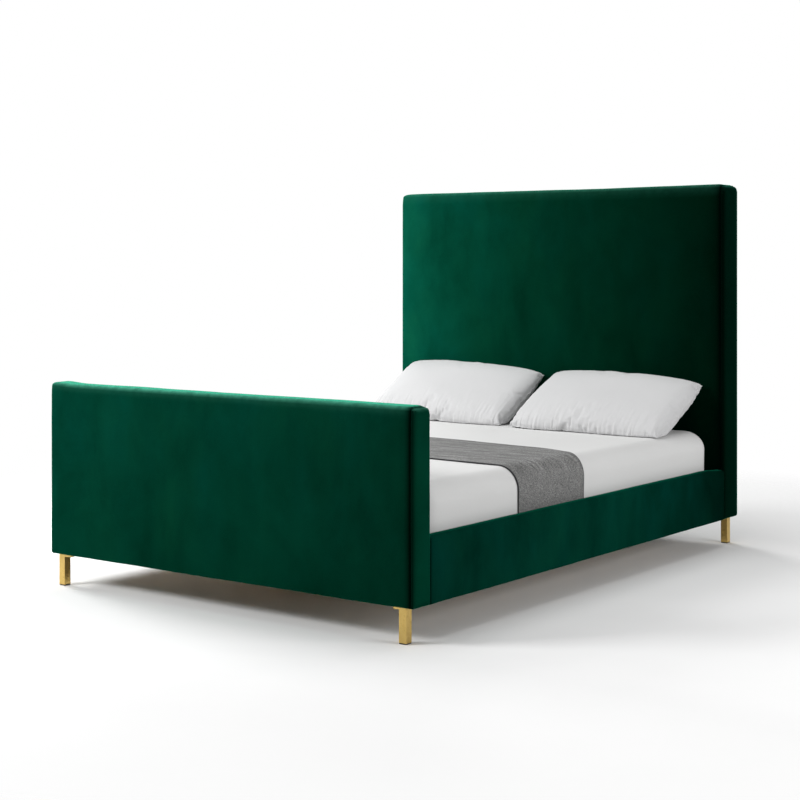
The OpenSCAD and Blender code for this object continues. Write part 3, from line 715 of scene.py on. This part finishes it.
def rail(side, sign, seed):
    """A padded side rail, running a little into both end boards as pressed foam does."""
    (x_mid, _, z_mid), (depth, _, tall) = middle_and_size(RAIL_LO, RAIL_HI)
    stations = [(FOOT_IN - RAIL_PRESS, depth / 2, 0.0)]
    # The marks at both ends are painted shade in the creases against the boards
    stations += [(FOOT_IN + step * MM, 0.0, mark) for step, mark in RAIL_END]
    stations += [(y, 0.0, 0.0) for y in np.linspace(FOOT_IN + 16 * MM, HEAD_IN - 16 * MM, 90)]
    stations += [(HEAD_IN - step * MM, 0.0, mark) for step, mark in reversed(RAIL_END)]
    stations += [(HEAD_IN + RAIL_PRESS, depth / 2, 0.0)]
    radii = (4 * MM, 6 * MM, 15 * MM, 12 * MM)
    mesh = loft(f"{side}_rail_upholstery", stations, (depth, tall), radii, (5, 14), 6,
                lambda y, x, z: (sign * (x_mid + x), y, z_mid + z))
    obj = make_object(f"{side}_rail_upholstery", mesh, "bed_frame", VELVET)
    co, normals = read_mesh(mesh)
    x, y, z = co.T
    outer = np.clip(sign * normals[:, 0], 0, 1)
    height = np.clip((z - RAIL_LO[2]) / tall, 0, 1)
    crown = RAIL_CROWN * np.sin(math.pi * height) * outer * from_boards(co, 0.03)
    to_end = np.minimum(y - FOOT_IN, HEAD_IN - y) + RAIL_PRESS
    tuck = RAIL_TUCK * ease(1 - to_end / RAIL_PRESS) * (sign * x > x_mid)
    x += sign * (crown - tuck)
    z -= RAIL_DIP * ease(1 - (HEAD_IN - y) / DIP_LENGTH) * ease((z - RAIL_HI[2] + 0.04) / 0.04)
    write_mesh(mesh, co)
    tighten(obj, 0.9, seed, lambda p: 0.3 + 0.7 * from_boards(p, 0.04))
    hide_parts(f"{side}_rail_cover", f"{side}_rail_foam")


# The closing cloth's edge, in millimetres: how far it stands out, inset from its outline, and painted shade
# where the cloth turns in and along the row of dimples
CLOTH_EDGE = [(-2.0, 0.0, 0.8), (0.6, 0.0, 0.5), (1.5, 0.8, 0.1), (1.9, 2.5, 0.0), (1.7, 6.0, 0.0),
              (1.0, 8.5, 0.35), (1.6, 11.0, 0.0), (2.0, 20.0, 0.0)]
CLOTH_CROWN = 1.2
DIMPLE_INSET = 8.5 * MM
DIMPLE_PITCH = 0.045


def back_cover():
    """The headboard's closing panel behind: a thin crowned cloth, turned in, with a row of dimples."""
    middle, (wide, _, tall) = middle_and_size(*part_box("headboard_back_cover"))
    behind = HEAD_HI[1] + BACK_EASE
    out, inset, _ = CLOTH_EDGE[-1]
    to_middle = tall / 2 / MM - inset
    steps = CLOTH_EDGE + [(out + CLOTH_CROWN * math.sin(math.pi / 2 * t), inset + t * to_middle, 0.0)
                          for t in np.linspace(0.06, 1, 16)]
    stations = [(a * MM, b * MM, mark) for a, b, mark in steps]
    mesh = loft("headboard_back_cloth", stations, (wide, tall), (10 * MM,) * 4, (60, 50), 5,
                lambda off, x, z: (middle[0] + x, behind + off, middle[2] + z))
    co, _ = read_mesh(mesh)
    x, _, z = co.T
    to_side, to_top = wide / 2 - np.abs(x - middle[0]), tall / 2 - np.abs(z - middle[2])
    edge = np.minimum(to_side, to_top)
    along = np.where(to_side < to_top, z, x)
    row = np.exp(-((edge - DIMPLE_INSET) / (3 * MM)) ** 2)
    co[:, 1] -= 0.8 * MM * row * (0.5 + 0.5 * np.cos(TAU * along / DIMPLE_PITCH)) ** 4
    co[:, 1] += 0.5 * MM * ripple(co, 4.0, 9.0) * ease(edge / 0.05)
    write_mesh(mesh, co)
    obj = make_object("headboard_back_cloth", mesh, "bed_frame", VELVET)
    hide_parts("headboard_back_cover")


# ---- Mattress and its sheet ----

# Below this height the bedding is held between the rails, and keeps to the mattress
HELD_BELOW = 0.33
# How much of the sheet lies under the mattress, and the mattress's corner, shoulder and lower radii
SHEET_TURN = 0.14
PLAN_R = 0.100
TOP_R = 0.075
LOW_R = 0.025


def sheet_stations():
    """Heights and insets from the sheet's elastic edge underneath, up the side and in to the middle."""
    low, top = BED_LO[2], BED_TOP
    places = [(low, i) for i in np.linspace(SHEET_TURN, LOW_R + 0.01, 8)]
    places += [(low + LOW_R * (1 - math.cos(t)), LOW_R * (1 - math.sin(t))) for t in np.linspace(0, 1.4, 6)]
    places += [(z, 0.0) for z in np.linspace(low + LOW_R + 0.006, top - TOP_R - 0.004, 9)]
    places += [(top - TOP_R * (1 - math.sin(t)), TOP_R * (1 - math.cos(t)))
               for t in np.linspace(0, math.pi / 2, 12)]
    places += [(top, i) for i in np.linspace(TOP_R + 0.02, BED_HALF, 30)]
    return [(z, inset, 0.0) for z, inset in places]


def fitted_sheet():
    """White cotton drawn over the mattress, with its elastic hem turned under."""
    size = (BED_HI[0] - BED_LO[0], BED_HI[1] - BED_LO[1])
    mesh = loft("fitted_sheet_cloth", sheet_stations(), size, (PLAN_R,) * 4, (54, 74), 12,
                lambda z, x, y: (x, BED_MID_Y + y, z))
    co, normals = read_mesh(mesh)
    x, y, z = co.T
    to_side, to_end = size[0] / 2 - np.abs(x), size[1] / 2 - np.abs(y - BED_MID_Y)
    edge = np.minimum(to_side, to_end)
    up = ease((z - HELD_BELOW) / 0.08)
    slow = 0.5 * MM * (1 + ripple(co, 2.3, 4.0))
    pulled = 0.35 * MM * (1 + ripple(co, 9.0, 5.0, (1, 0.6, 1))) * np.exp(-(edge / 0.12) ** 2)
    at_corner = np.exp(-(np.hypot(to_side, to_end) / 0.16) ** 2)
    drawn = 0.7 * MM * (1 + np.sin(z * 95 + 6 * ripple(co, 6.0, 6.0))) * at_corner
    co += normals * ((slow + pulled + drawn) * up)[:, None]
    under = 1 - ease((z - BED_LO[2]) / 0.02)
    frill = 1.2 * MM * (1 + np.sin(90 * (x + y)) * np.sin(37 * x - 41 * y))
    z += under * frill * ease((edge - 0.03) / 0.06)
    write_mesh(mesh, co)
    obj = make_object("fitted_sheet_cloth", mesh, "mattress", SHEET)
    add_modifier(obj, "SOLIDIFY", thickness=1.0 * MM, offset=-1)
    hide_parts("fitted_sheet")


# ---- Throw ----

THROW_T = 2.8 * MM
THROW_LIFT = 1.9 * MM
FLAT_HALF = BED_HALF - TOP_R
SHOULDER = TOP_R * math.pi / 2


def over_mattress(s, gap):
    """A point of the mattress's outline, s along it from the middle, moved out by gap: its x and z."""
    way = 1 if s >= 0 else -1
    s = abs(s)
    if s <= FLAT_HALF:
        return way * s, BED_TOP + gap
    if s <= FLAT_HALF + SHOULDER:
        t = (s - FLAT_HALF) / TOP_R
        out = FLAT_HALF + (TOP_R + gap) * math.sin(t)
        return way * out, BED_TOP - TOP_R + (TOP_R + gap) * math.cos(t)
    return way * (BED_HALF + gap), BED_TOP - TOP_R - (s - FLAT_HALF - SHOULDER)


def throw_edges(s):
    """Where the throw's two long edges lie: it is drawn in a little towards its sides."""
    out = abs(s) / 0.76
    near = THROW_LO[1] + 0.026 * ease((0.95 - out) / 0.6) - 0.004 * math.sin(5 * s)
    far = 0.078 - 0.042 * ease(out / 0.75) - 0.082 * ease((out - 0.66) / 0.40)
    return near, far


def throw_gap(s, y, edge):
    """How far the throw lies off the mattress, with edge its share of the way in from a long hem."""
    hem = 0.9 * MM * (edge < 0.013) - 0.8 * MM * (edge < 0.001)
    free = float(ease((over_mattress(s, 0)[1] - HELD_BELOW) / 0.08))
    wave = noise.noise(Vector((s * 2.4, y * 6.0, 3.0))) + 0.5 * noise.noise(Vector((s * 7.0, y * 16.0, 8.0)))
    lying = float(ease((FLAT_HALF + 0.02 - abs(s)) / 0.12))
    swell = (0.35 + 0.65 * lying) * 1.1 * MM * max(wave, -0.6)
    return THROW_LIFT * free + 1.0 * MM * (1 - free) + (hem + swell) * free


def throw():
    """The knit over both shoulders of the mattress and down behind the rails, its long hems raised and
    coloured darker.
    """
    reach = FLAT_HALF + SHOULDER + BED_TOP - TOP_R - THROW_LO[2]
    across = np.linspace(-reach, reach, 220)
    along = [0, 0.005, 0.010, 0.020] + list(np.linspace(0.035, 0.965, 52)) + [0.980, 0.990, 0.995, 1.0]
    marks = [1.0, 0.85, 0.2, 0.0] + [0.0] * 52 + [0.0, 0.2, 0.85, 1.0]
    rows = []
    for v in along:
        row = []
        for s in across:
            near, far = throw_edges(s)
            y = near + (far - near) * v
            x, z = over_mattress(s, throw_gap(s, y, min(v, 1 - v)))
            row.append((x, y, z))
        rows.append(row)
    mesh = grid_mesh("throw_cloth", rows, marks)
    obj = make_object("throw_cloth", mesh, "bed_throw", THROW)
    if mesh.polygons[len(mesh.polygons) // 2].normal.z < 0:
        mesh.flip_normals()
    add_modifier(obj, "SOLIDIFY", thickness=THROW_T, offset=1, use_even_offset=True)
    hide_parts("throw")


# ---- Pillows ----

# A panel's width and height, how high it is crowned before it is blown up, and its grid
PILLOW_CUT = (0.720, 0.420)
PILLOW_CROWN = 0.066
PILLOW_COLS = 110
PILLOW_ROWS = 68
PILLOW_CLOTH = {"quality": 6, "mass": 0.25, "tension_stiffness": 22, "compression_stiffness": 16,
                "shear_stiffness": 8, "bending_stiffness": 2.0, "air_damping": 6, "use_pressure": True,
                "uniform_pressure_force": 4.0}
PILLOW_FRAMES = 14
# Each pillow: side, middle, turn about its face, lean, turn about the upright, size, seed
PILLOWS = [
    ("left", (-0.383, 0.812, 0.577), -3.6, 31.0, 2.5, (0.700, 0.385, 0.162), 11.0),
    ("right", (0.376, 0.790, 0.566), -2.9, 27.8, 1.3, (0.697, 0.410, 0.162), 23.0),
]


def spread(k, count):
    """From -1 to 1, closer together towards both ends."""
    t = 2 * k / count - 1
    return 0.6 * t + 0.4 * math.sin(math.pi / 2 * t)


def pillow_blank(name, seed):
    """Two crowned panels sewn round their edge, with arched sides and small ears at the corners."""
    width, height = PILLOW_CUT
    bm = bmesh.new()
    across = bm.verts.layers.float.new("across")
    upward = bm.verts.layers.float.new("upward")
    sheets = []
    for face in (1, -1):
        grid = []
        for j in range(PILLOW_ROWS + 1):
            v = spread(j, PILLOW_ROWS)
            line = []
            for i in range(PILLOW_COLS + 1):
                u = spread(i, PILLOW_COLS)
                corner = abs(u * v)
                cut = 1 - 0.044 * corner ** 4 + 0.034 * corner ** 12
                x = u * width / 2 * (cut + 0.012 * (1 - v * v))
                y = v * height / 2 * (cut + 0.100 * (1 - u ** 4))
                swell = math.sqrt(max(0.0, (1 - abs(u) ** 4.4) * (1 - abs(v) ** 2.8)))
                ear = 0.014 * corner ** 7 * (1 - abs(u) ** 36) * (1 - abs(v) ** 36)
                uneven = 0.0012 * swell * noise.noise(Vector((x * 20, y * 20, seed + face)))
                z = face * (PILLOW_CROWN * swell + ear + uneven)
                vert = bm.verts.new((x, y, z))
                vert[across] = u
                vert[upward] = v
                line.append(vert)
            grid.append(line)
        sheets.append(grid)
    for face, grid in zip((1, -1), sheets):
        for low, high in zip(grid, grid[1:]):
            for k in range(PILLOW_COLS):
                quad = [low[k], low[k + 1], high[k + 1], high[k]]
                bm.faces.new(quad if face > 0 else quad[::-1])
    return mesh_from(name, bm, doubles=0.05 * MM)


def attribute(obj, name):
    values = np.empty(len(obj.data.vertices), np.float32)
    obj.data.attributes[name].data.foreach_get("value", values)
    return values.astype(float)


def gather(obj, seed):
    """Fine puckers that run in from the sewn edges, deepest along the lower one, and a flat sewn lip."""
    co, normals = read_mesh(obj.data)
    u, v = attribute(obj, "across"), attribute(obj, "upward")
    face = np.sign(co[:, 2]) * 3
    edge = np.minimum((1 - np.abs(u)) * PILLOW_CUT[0] / 2, (1 - np.abs(v)) * PILLOW_CUT[1] / 2)
    lower = np.exp(-(1 + v) / 0.34)
    upper = 0.25 * np.exp(-(1 - v) / 0.16)
    ends = 0.6 * np.exp(-(1 - np.abs(u)) / 0.10)
    flat = np.stack([co[:, 0], co[:, 1], face], axis=1)

    def folds(step, per_x, per_y):
        return ripple(flat, 1.0, seed + step, (per_x, per_y, 1))

    puckers = 0.5 * folds(0, 58, 9) + 1.3 * folds(2, 125, 12)
    side = folds(4, 14, 60) + 0.6 * folds(5, 16, 110)
    uneven = 1.6 + 3.4 * np.exp(-(1 - np.abs(u)) / 0.06)
    hem = uneven * MM * folds(8, 80, 80) * np.exp(-edge / 0.018)
    slow = folds(6, 6, 8)
    inside = ease(edge / 0.012)
    lift = inside * (4.2 * MM * puckers * (lower + upper) + 4.0 * MM * side * ends + 2.4 * MM * slow) + hem
    co += normals * lift[:, None]
    co[:, 2] *= 0.12 + 0.88 * ease((edge - 2 * MM) / (7 * MM))
    write_mesh(obj.data, co)
    for name in ("across", "upward"):
        obj.data.attributes.remove(obj.data.attributes[name])


def inflate(obj):
    """Blows the sewn panels up with Cloth, with no gravity, and keeps the result."""
    cloth = add_modifier(obj, "CLOTH")
    for key, value in PILLOW_CLOTH.items():
        setattr(cloth.settings, key, value)
    cloth.settings.effector_weights.gravity = 0
    cloth.collision_settings.use_collision = False
    cloth.point_cache.frame_start = 1
    cloth.point_cache.frame_end = PILLOW_FRAMES
    for step in range(1, PILLOW_FRAMES + 1):
        bpy.context.scene.frame_set(step)
    apply_modifiers(obj)
    bpy.context.scene.frame_set(1)


def soft_limit(value, limit, blend):
    """The value where it is above the limit by more than blend, and never below the limit."""
    over = (value - limit) / blend
    return limit + blend * np.where(over > 20, over, np.log1p(np.exp(np.clip(over, -40, 20))))


def fit_between_tips(co, size):
    """Centres a stuffed pillow and scales it to its size, which is taken between its corners' tips."""
    co -= (co.max(axis=0) + co.min(axis=0)) / 2
    tips = np.abs([co[np.argmax(a * co[:, 0] / PILLOW_CUT[0] + b * co[:, 1] / PILLOW_CUT[1])]
                   for a in (-1, 1) for b in (-1, 1)]).mean(axis=0)
    return co * np.array([size[0] / 2 / tips[0], size[1] / 2 / tips[1], size[2] / np.ptp(co[:, 2])])


def pillow(side, middle, roll, lean, turn, size, seed):
    """One pillow, stuffed, laid against the headboard and flattened where it touches bed and board."""
    name = f"{side}_pillow_stuffed"
    mesh = pillow_blank(name, seed)
    obj = bpy.data.objects.new(name, mesh)
    bpy.context.scene.collection.objects.link(obj)
    inflate(obj)
    add_modifier(obj, "SUBSURF", levels=1, render_levels=1)
    apply_modifiers(obj)
    gather(obj, seed)
    co = fit_between_tips(read_mesh(obj.data)[0], size)
    turned = (Matrix.Rotation(math.radians(turn), 3, "Z") @ Matrix.Rotation(math.radians(lean), 3, "X")
              @ Matrix.Rotation(math.radians(roll), 3, "Z"))
    co = co @ np.array(turned).T + np.array(middle)
    co[:, 2] = soft_limit(co[:, 2], BED_TOP + 3.0 * MM, 3 * MM)
    co[:, 1] = -soft_limit(-co[:, 1], -(HEAD_IN - 3.5 * MM), 3 * MM)
    write_mesh(obj.data, co)
    obj.data.materials.clear()
    obj.data.materials.append(CASE)
    obj.data.shade_smooth()
    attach(obj, f"{side}_pillow")
    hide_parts(f"{side}_pillowcase", f"{side}_pillow_filling")


# ---- Fastenings and levelling feet ----

# Sides of a turned screw head or nut
ROUND = 48


def turned_ring(bm, place, radii, height):
    """Vertices spaced evenly round a place's upright, one for each radius."""
    angles = [TAU * k / len(radii) for k in range(len(radii))]
    return [bm.verts.new(place @ Vector((r * math.cos(t), r * math.sin(t), height)))
            for r, t in zip(radii, angles)]


def lathe(bm, profile, segments, place):
    """Turns a profile of (radius, height) points about its axis."""
    join_rows(bm, [turned_ring(bm, place, [r] * segments, h) for r, h in profile])


def hexagon_reach(t):
    """How far a hexagon reaches at an angle, as a multiple of its flats' distance."""
    return 1 / math.cos((t + math.pi / 6) % (math.pi / 3) - math.pi / 6)


def recess_reach(t, arms):
    """How far a hexagon or cross recess reaches at an angle, as a share of its head's radius."""
    if arms == 6:
        return 0.42 * hexagon_reach(t)
    across = min(abs(math.cos(t)), abs(math.sin(t)))
    return min(0.58, 0.15 / max(across, 1e-6))


def pan_head(bm, place, r, h, arms):
    """A screw's domed head, height along +Z of its place, with a cross or hexagon recess sunk in it."""
    rim = 0.35 * h
    rows = [(r, 0.0), (r, rim)]
    rows += [(r * math.cos(t) ** 0.6, rim + (h - rim) * math.sin(t)) for t in np.linspace(0.3, 1.15, 5)]
    rings = [turned_ring(bm, place, [q] * ROUND, z) for q, z in rows]
    recess = [r * recess_reach(TAU * k / ROUND, arms) for k in range(ROUND)]
    for share, z in ((1.0, 0.985 * h), (0.93, 0.95 * h), (0.86, 0.45 * h)):
        rings.append(turned_ring(bm, place, [share * reach for reach in recess], z))
    join_rows(bm, rings)
    bm.faces.new(rings[-1])
    bm.faces.new(rings[0][::-1])


def thread_profile(r, length, pitch, depth, tip):
    """Ridges along a shank, in place of a screw's helix."""
    points = [(0.0, 0.0), (r, 0.0)]
    turns = int((length - tip) / pitch)
    for i in range(turns):
        z = (i + 0.25) * pitch
        points += [(r, z), (r - depth, z + 0.5 * pitch)]
    points += [(r - depth, length - tip), (0.25 * r, length), (0.0, length)]
    return points


def cluster(node):
    """The separate solids of a CAD node, each as the low and high corners of its box."""
    bm = bmesh.new()
    bm.from_mesh(frame["nodes"][node].data)
    bmesh.ops.remove_doubles(bm, verts=bm.verts, dist=0.01 * MM)
    found, left = [], set(bm.verts)
    for start in bm.verts:
        if start not in left:
            continue
        left.remove(start)
        members = [start]
        for vert in members:
            touching = {edge.other_vert(vert) for edge in vert.link_edges} & left
            left -= touching
            members += touching
        points = np.array([vert.co for vert in members])
        found.append((points.min(axis=0), points.max(axis=0)))
    bm.free()
    return found


def look_down(low):
    return -1


def look_in_from_side(low):
    return -1 if low[0] > 0 else 1


def look_in_from_end(low):
    return 1 if low[1] < 0 else -1


# Each group: which way its heads look along their axis, head radius, head height and shank radius in
# millimetres, and arms of the recess
FASTENINGS = {
    "leg_screw": (look_down, 5.0, 3.0, 2.5, 4),
    "bracket_screw": (look_in_from_side, 5.0, 2.0, 2.5, 4),
    "ledger_screw": (look_in_from_side, 5.0, 3.0, 2.5, 4),
    "hanger_screw": (look_in_from_end, 5.0, 3.0, 2.5, 4),
    "rail_bolt": (look_in_from_end, 7.0, 5.0, 4.0, 6),
}


def upright_at(place, facing):
    """A frame at a place whose +Z looks the given way."""
    return Matrix.Translation(Vector(place)) @ facing.to_track_quat("Z", "Y").to_matrix().to_4x4()


def fastenings(kind, look, head_r, head_t, shank_r, arms):
    """Replaces a group of plain CAD screws."""
    bm = bmesh.new()
    for low, high in cluster(f"{kind}s"):
        axis = int(np.argmax(high - low))
        way = look(low)
        out, tip = (high[axis], low[axis]) if way > 0 else (low[axis], high[axis])
        seat = (low + high) / 2
        seat[axis] = out - way * head_t * MM
        facing = Vector((0, 0, 0))
        facing[axis] = way
        pan_head(bm, upright_at(seat, facing), head_r * MM, head_t * MM, arms)
        shank = thread_profile(shank_r * MM, abs(seat[axis] - tip), 1.6 * MM, 0.35 * MM, 4 * MM)
        lathe(bm, shank, 20, upright_at(seat, -facing))
    obj = make_object(f"{kind}_set", mesh_from(f"{kind}_set", bm, smooth=False), "bed_frame", ZINC)
    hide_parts(f"{kind}s")


def levelling_foot(which):
    """A dished pad on a threaded stem."""
    name = f"{which}_leveller"
    low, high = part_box(f"{which}_levelling_foot")
    (x, y, _), (width, _, _) = middle_and_size(low, high)
    pad = width / 2 / MM
    stem = 5.0
    pitch = 1.5
    first_ridge = 9.5
    profile = [(0.0, 1.0), (pad - 4, 1.0), (pad - 3, 0.0), (pad - 0.8, 0.0), (pad, 1.2), (pad, 3.5),
               (pad - 1.2, 5.0), (0.6 * pad, 6.2), (8.0, 8.0), (stem, 8.6)]
    for i in range(int((high[2] / MM - 12) / pitch)):
        z = first_ridge + i * pitch
        profile += [(stem, z), (stem - 0.6, z + pitch / 2)]
    profile += [(stem - 0.8, high[2] / MM), (0.0, high[2] / MM)]
    bm = bmesh.new()
    lathe(bm, [(r * MM, z * MM) for r, z in profile], 40, Matrix.Translation(Vector((x, y, 0))))
    obj = make_object(name, mesh_from(name, bm), name, ZINC)
    obj.data.shade_smooth()
    add_modifier(obj, "EDGE_SPLIT", split_angle=math.radians(35))
    apply_modifiers(obj)
    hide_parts(f"{which}_levelling_foot")


def lock_nuts():
    """Hexagon nuts with chamfered corners, one under each centre leg."""
    bm = bmesh.new()
    bore, cut, lead = 5.1 * MM, 0.9 * MM, 0.5 * MM
    for low, high in cluster("lock_nuts"):
        (x, y, _), (width, _, _) = middle_and_size(low, high)
        place = Matrix.Translation(Vector((x, y, 0)))
        r = width / 2
        flat = r * math.cos(math.pi / 6)
        hexagon = [flat * hexagon_reach(TAU * k / ROUND) for k in range(ROUND)]
        outside = [(low[2], flat), (low[2] + cut, r), (high[2] - cut, r), (high[2], flat)]
        wide = bore + lead
        inside = [(high[2], wide), (high[2] - lead, bore), (low[2] + lead, bore), (low[2], wide)]
        rows = [turned_ring(bm, place, [min(q, reach) for q in hexagon], z) for z, reach in outside]
        rows += [turned_ring(bm, place, [q] * ROUND, z) for z, q in inside]
        join_rows(bm, rows + rows[:1])
    obj = make_object("lock_nut_set", mesh_from("lock_nut_set", bm, smooth=False), "bed_frame", ZINC)
    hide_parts("lock_nuts")


# ---- Stage, lights and camera ----

WORLD_LIGHT = 0.28
# Each light: name, place, what it is aimed at, size, power in watts
LIGHTS = [
    ("head_left", (-3.0, -0.6, 2.0), (-0.4, 0.9, 1.2), (0.9, 0.9), 66),
    ("front_left", (-2.6, -4.2, 3.1), (-0.4, -1.1, 0.6), (1.8, 1.4), 165),
    ("rim_left_back", (-2.8, 3.2, 3.0), (-0.5, -1.1, 0.7), (1.6, 1.6), 90),
    ("overhead", (0.2, 0.0, 4.4), (0.2, 0.0, 0.0), (3.2, 3.2), 65),
    ("fill_right", (4.6, 0.2, 1.4), (0.7, 0.3, 0.4), (2.0, 1.6), 82),
]


def floor():
    """A pale floor that fades out to the white around it."""
    s = Shader("floor_pale", Specular_IOR_Level=0.1)
    soft = s.noise(3.0, 2)
    colour = s.mix(soft, (0.92, 0.92, 0.92), (0.95, 0.95, 0.95))
    material = s.done(colour, s.ramp(soft, [(0.3, 0.8), (0.7, 0.9)]))
    far = s.node("VectorMath", {0: s.place}, operation="LENGTH").outputs["Value"]
    shown = s.ramp(s.math("DIVIDE", far, 8.0), [(0.20, 1.0), (0.42, 0.0)])
    s.links.new(shown, s.main.inputs["Alpha"])
    bm = bmesh.new()
    bmesh.ops.create_grid(bm, x_segments=2, y_segments=2, size=40)
    mesh = mesh_from("floor", bm)
    mesh.materials.append(material)
    obj = bpy.data.objects.new("floor", mesh)
    bpy.context.scene.collection.objects.link(obj)
    obj.location.z = -0.2 * MM


def world():
    """White behind everything, and a weaker even light on it."""
    w = bpy.data.worlds.new("studio")
    w.use_nodes = True
    bpy.context.scene.world = w
    nodes, links = w.node_tree.nodes, w.node_tree.links
    path = nodes.new("ShaderNodeLightPath")
    mix = nodes.new("ShaderNodeMixShader")
    links.new(path.outputs["Is Camera Ray"], mix.inputs[0])
    for slot, background, strength in ((1, nodes["Background"], WORLD_LIGHT),
                                       (2, nodes.new("ShaderNodeBackground"), 1.0)):
        background.inputs["Color"].default_value = (1, 1, 1, 1)
        background.inputs["Strength"].default_value = strength
        links.new(background.outputs[0], mix.inputs[slot])
    links.new(mix.outputs[0], nodes["World Output"].inputs["Surface"])


def lights():
    for name, location, aim, size, power in LIGHTS:
        data = bpy.data.lights.new(name, "AREA")
        data.shape = "RECTANGLE"
        data.size, data.size_y = size
        data.energy = power
        obj = bpy.data.objects.new(name, data)
        obj.location = location
        obj.rotation_euler = (Vector(aim) - Vector(location)).to_track_quat("-Z", "Y").to_euler()
        obj.visible_camera = False
        bpy.context.scene.collection.objects.link(obj)


def camera():
    data = bpy.data.cameras.new("camera")
    data.lens = 73.75
    data.sensor_width = 36
    data.shift_y = -0.1747
    obj = bpy.data.objects.new("camera", data)
    obj.location = (3.714, -5.111, 1.164)
    obj.rotation_euler = (math.radians(90), 0, math.radians(36.62))
    bpy.context.scene.collection.objects.link(obj)
    bpy.context.scene.camera = obj


finish_cad_nodes()
headboard()
footboard()
rail("right", 1, 5.0)
rail("left", -1, 6.0)
back_cover()
fitted_sheet()
throw()
for entry in PILLOWS:
    pillow(*entry)
for kind_of_screw, form in FASTENINGS.items():
    fastenings(kind_of_screw, *form)
for which_leg in ("foot", "middle", "head"):
    levelling_foot(which_leg)
lock_nuts()
floor()
world()
lights()
camera()
bpy.context.scene.view_settings.view_transform = "Standard"
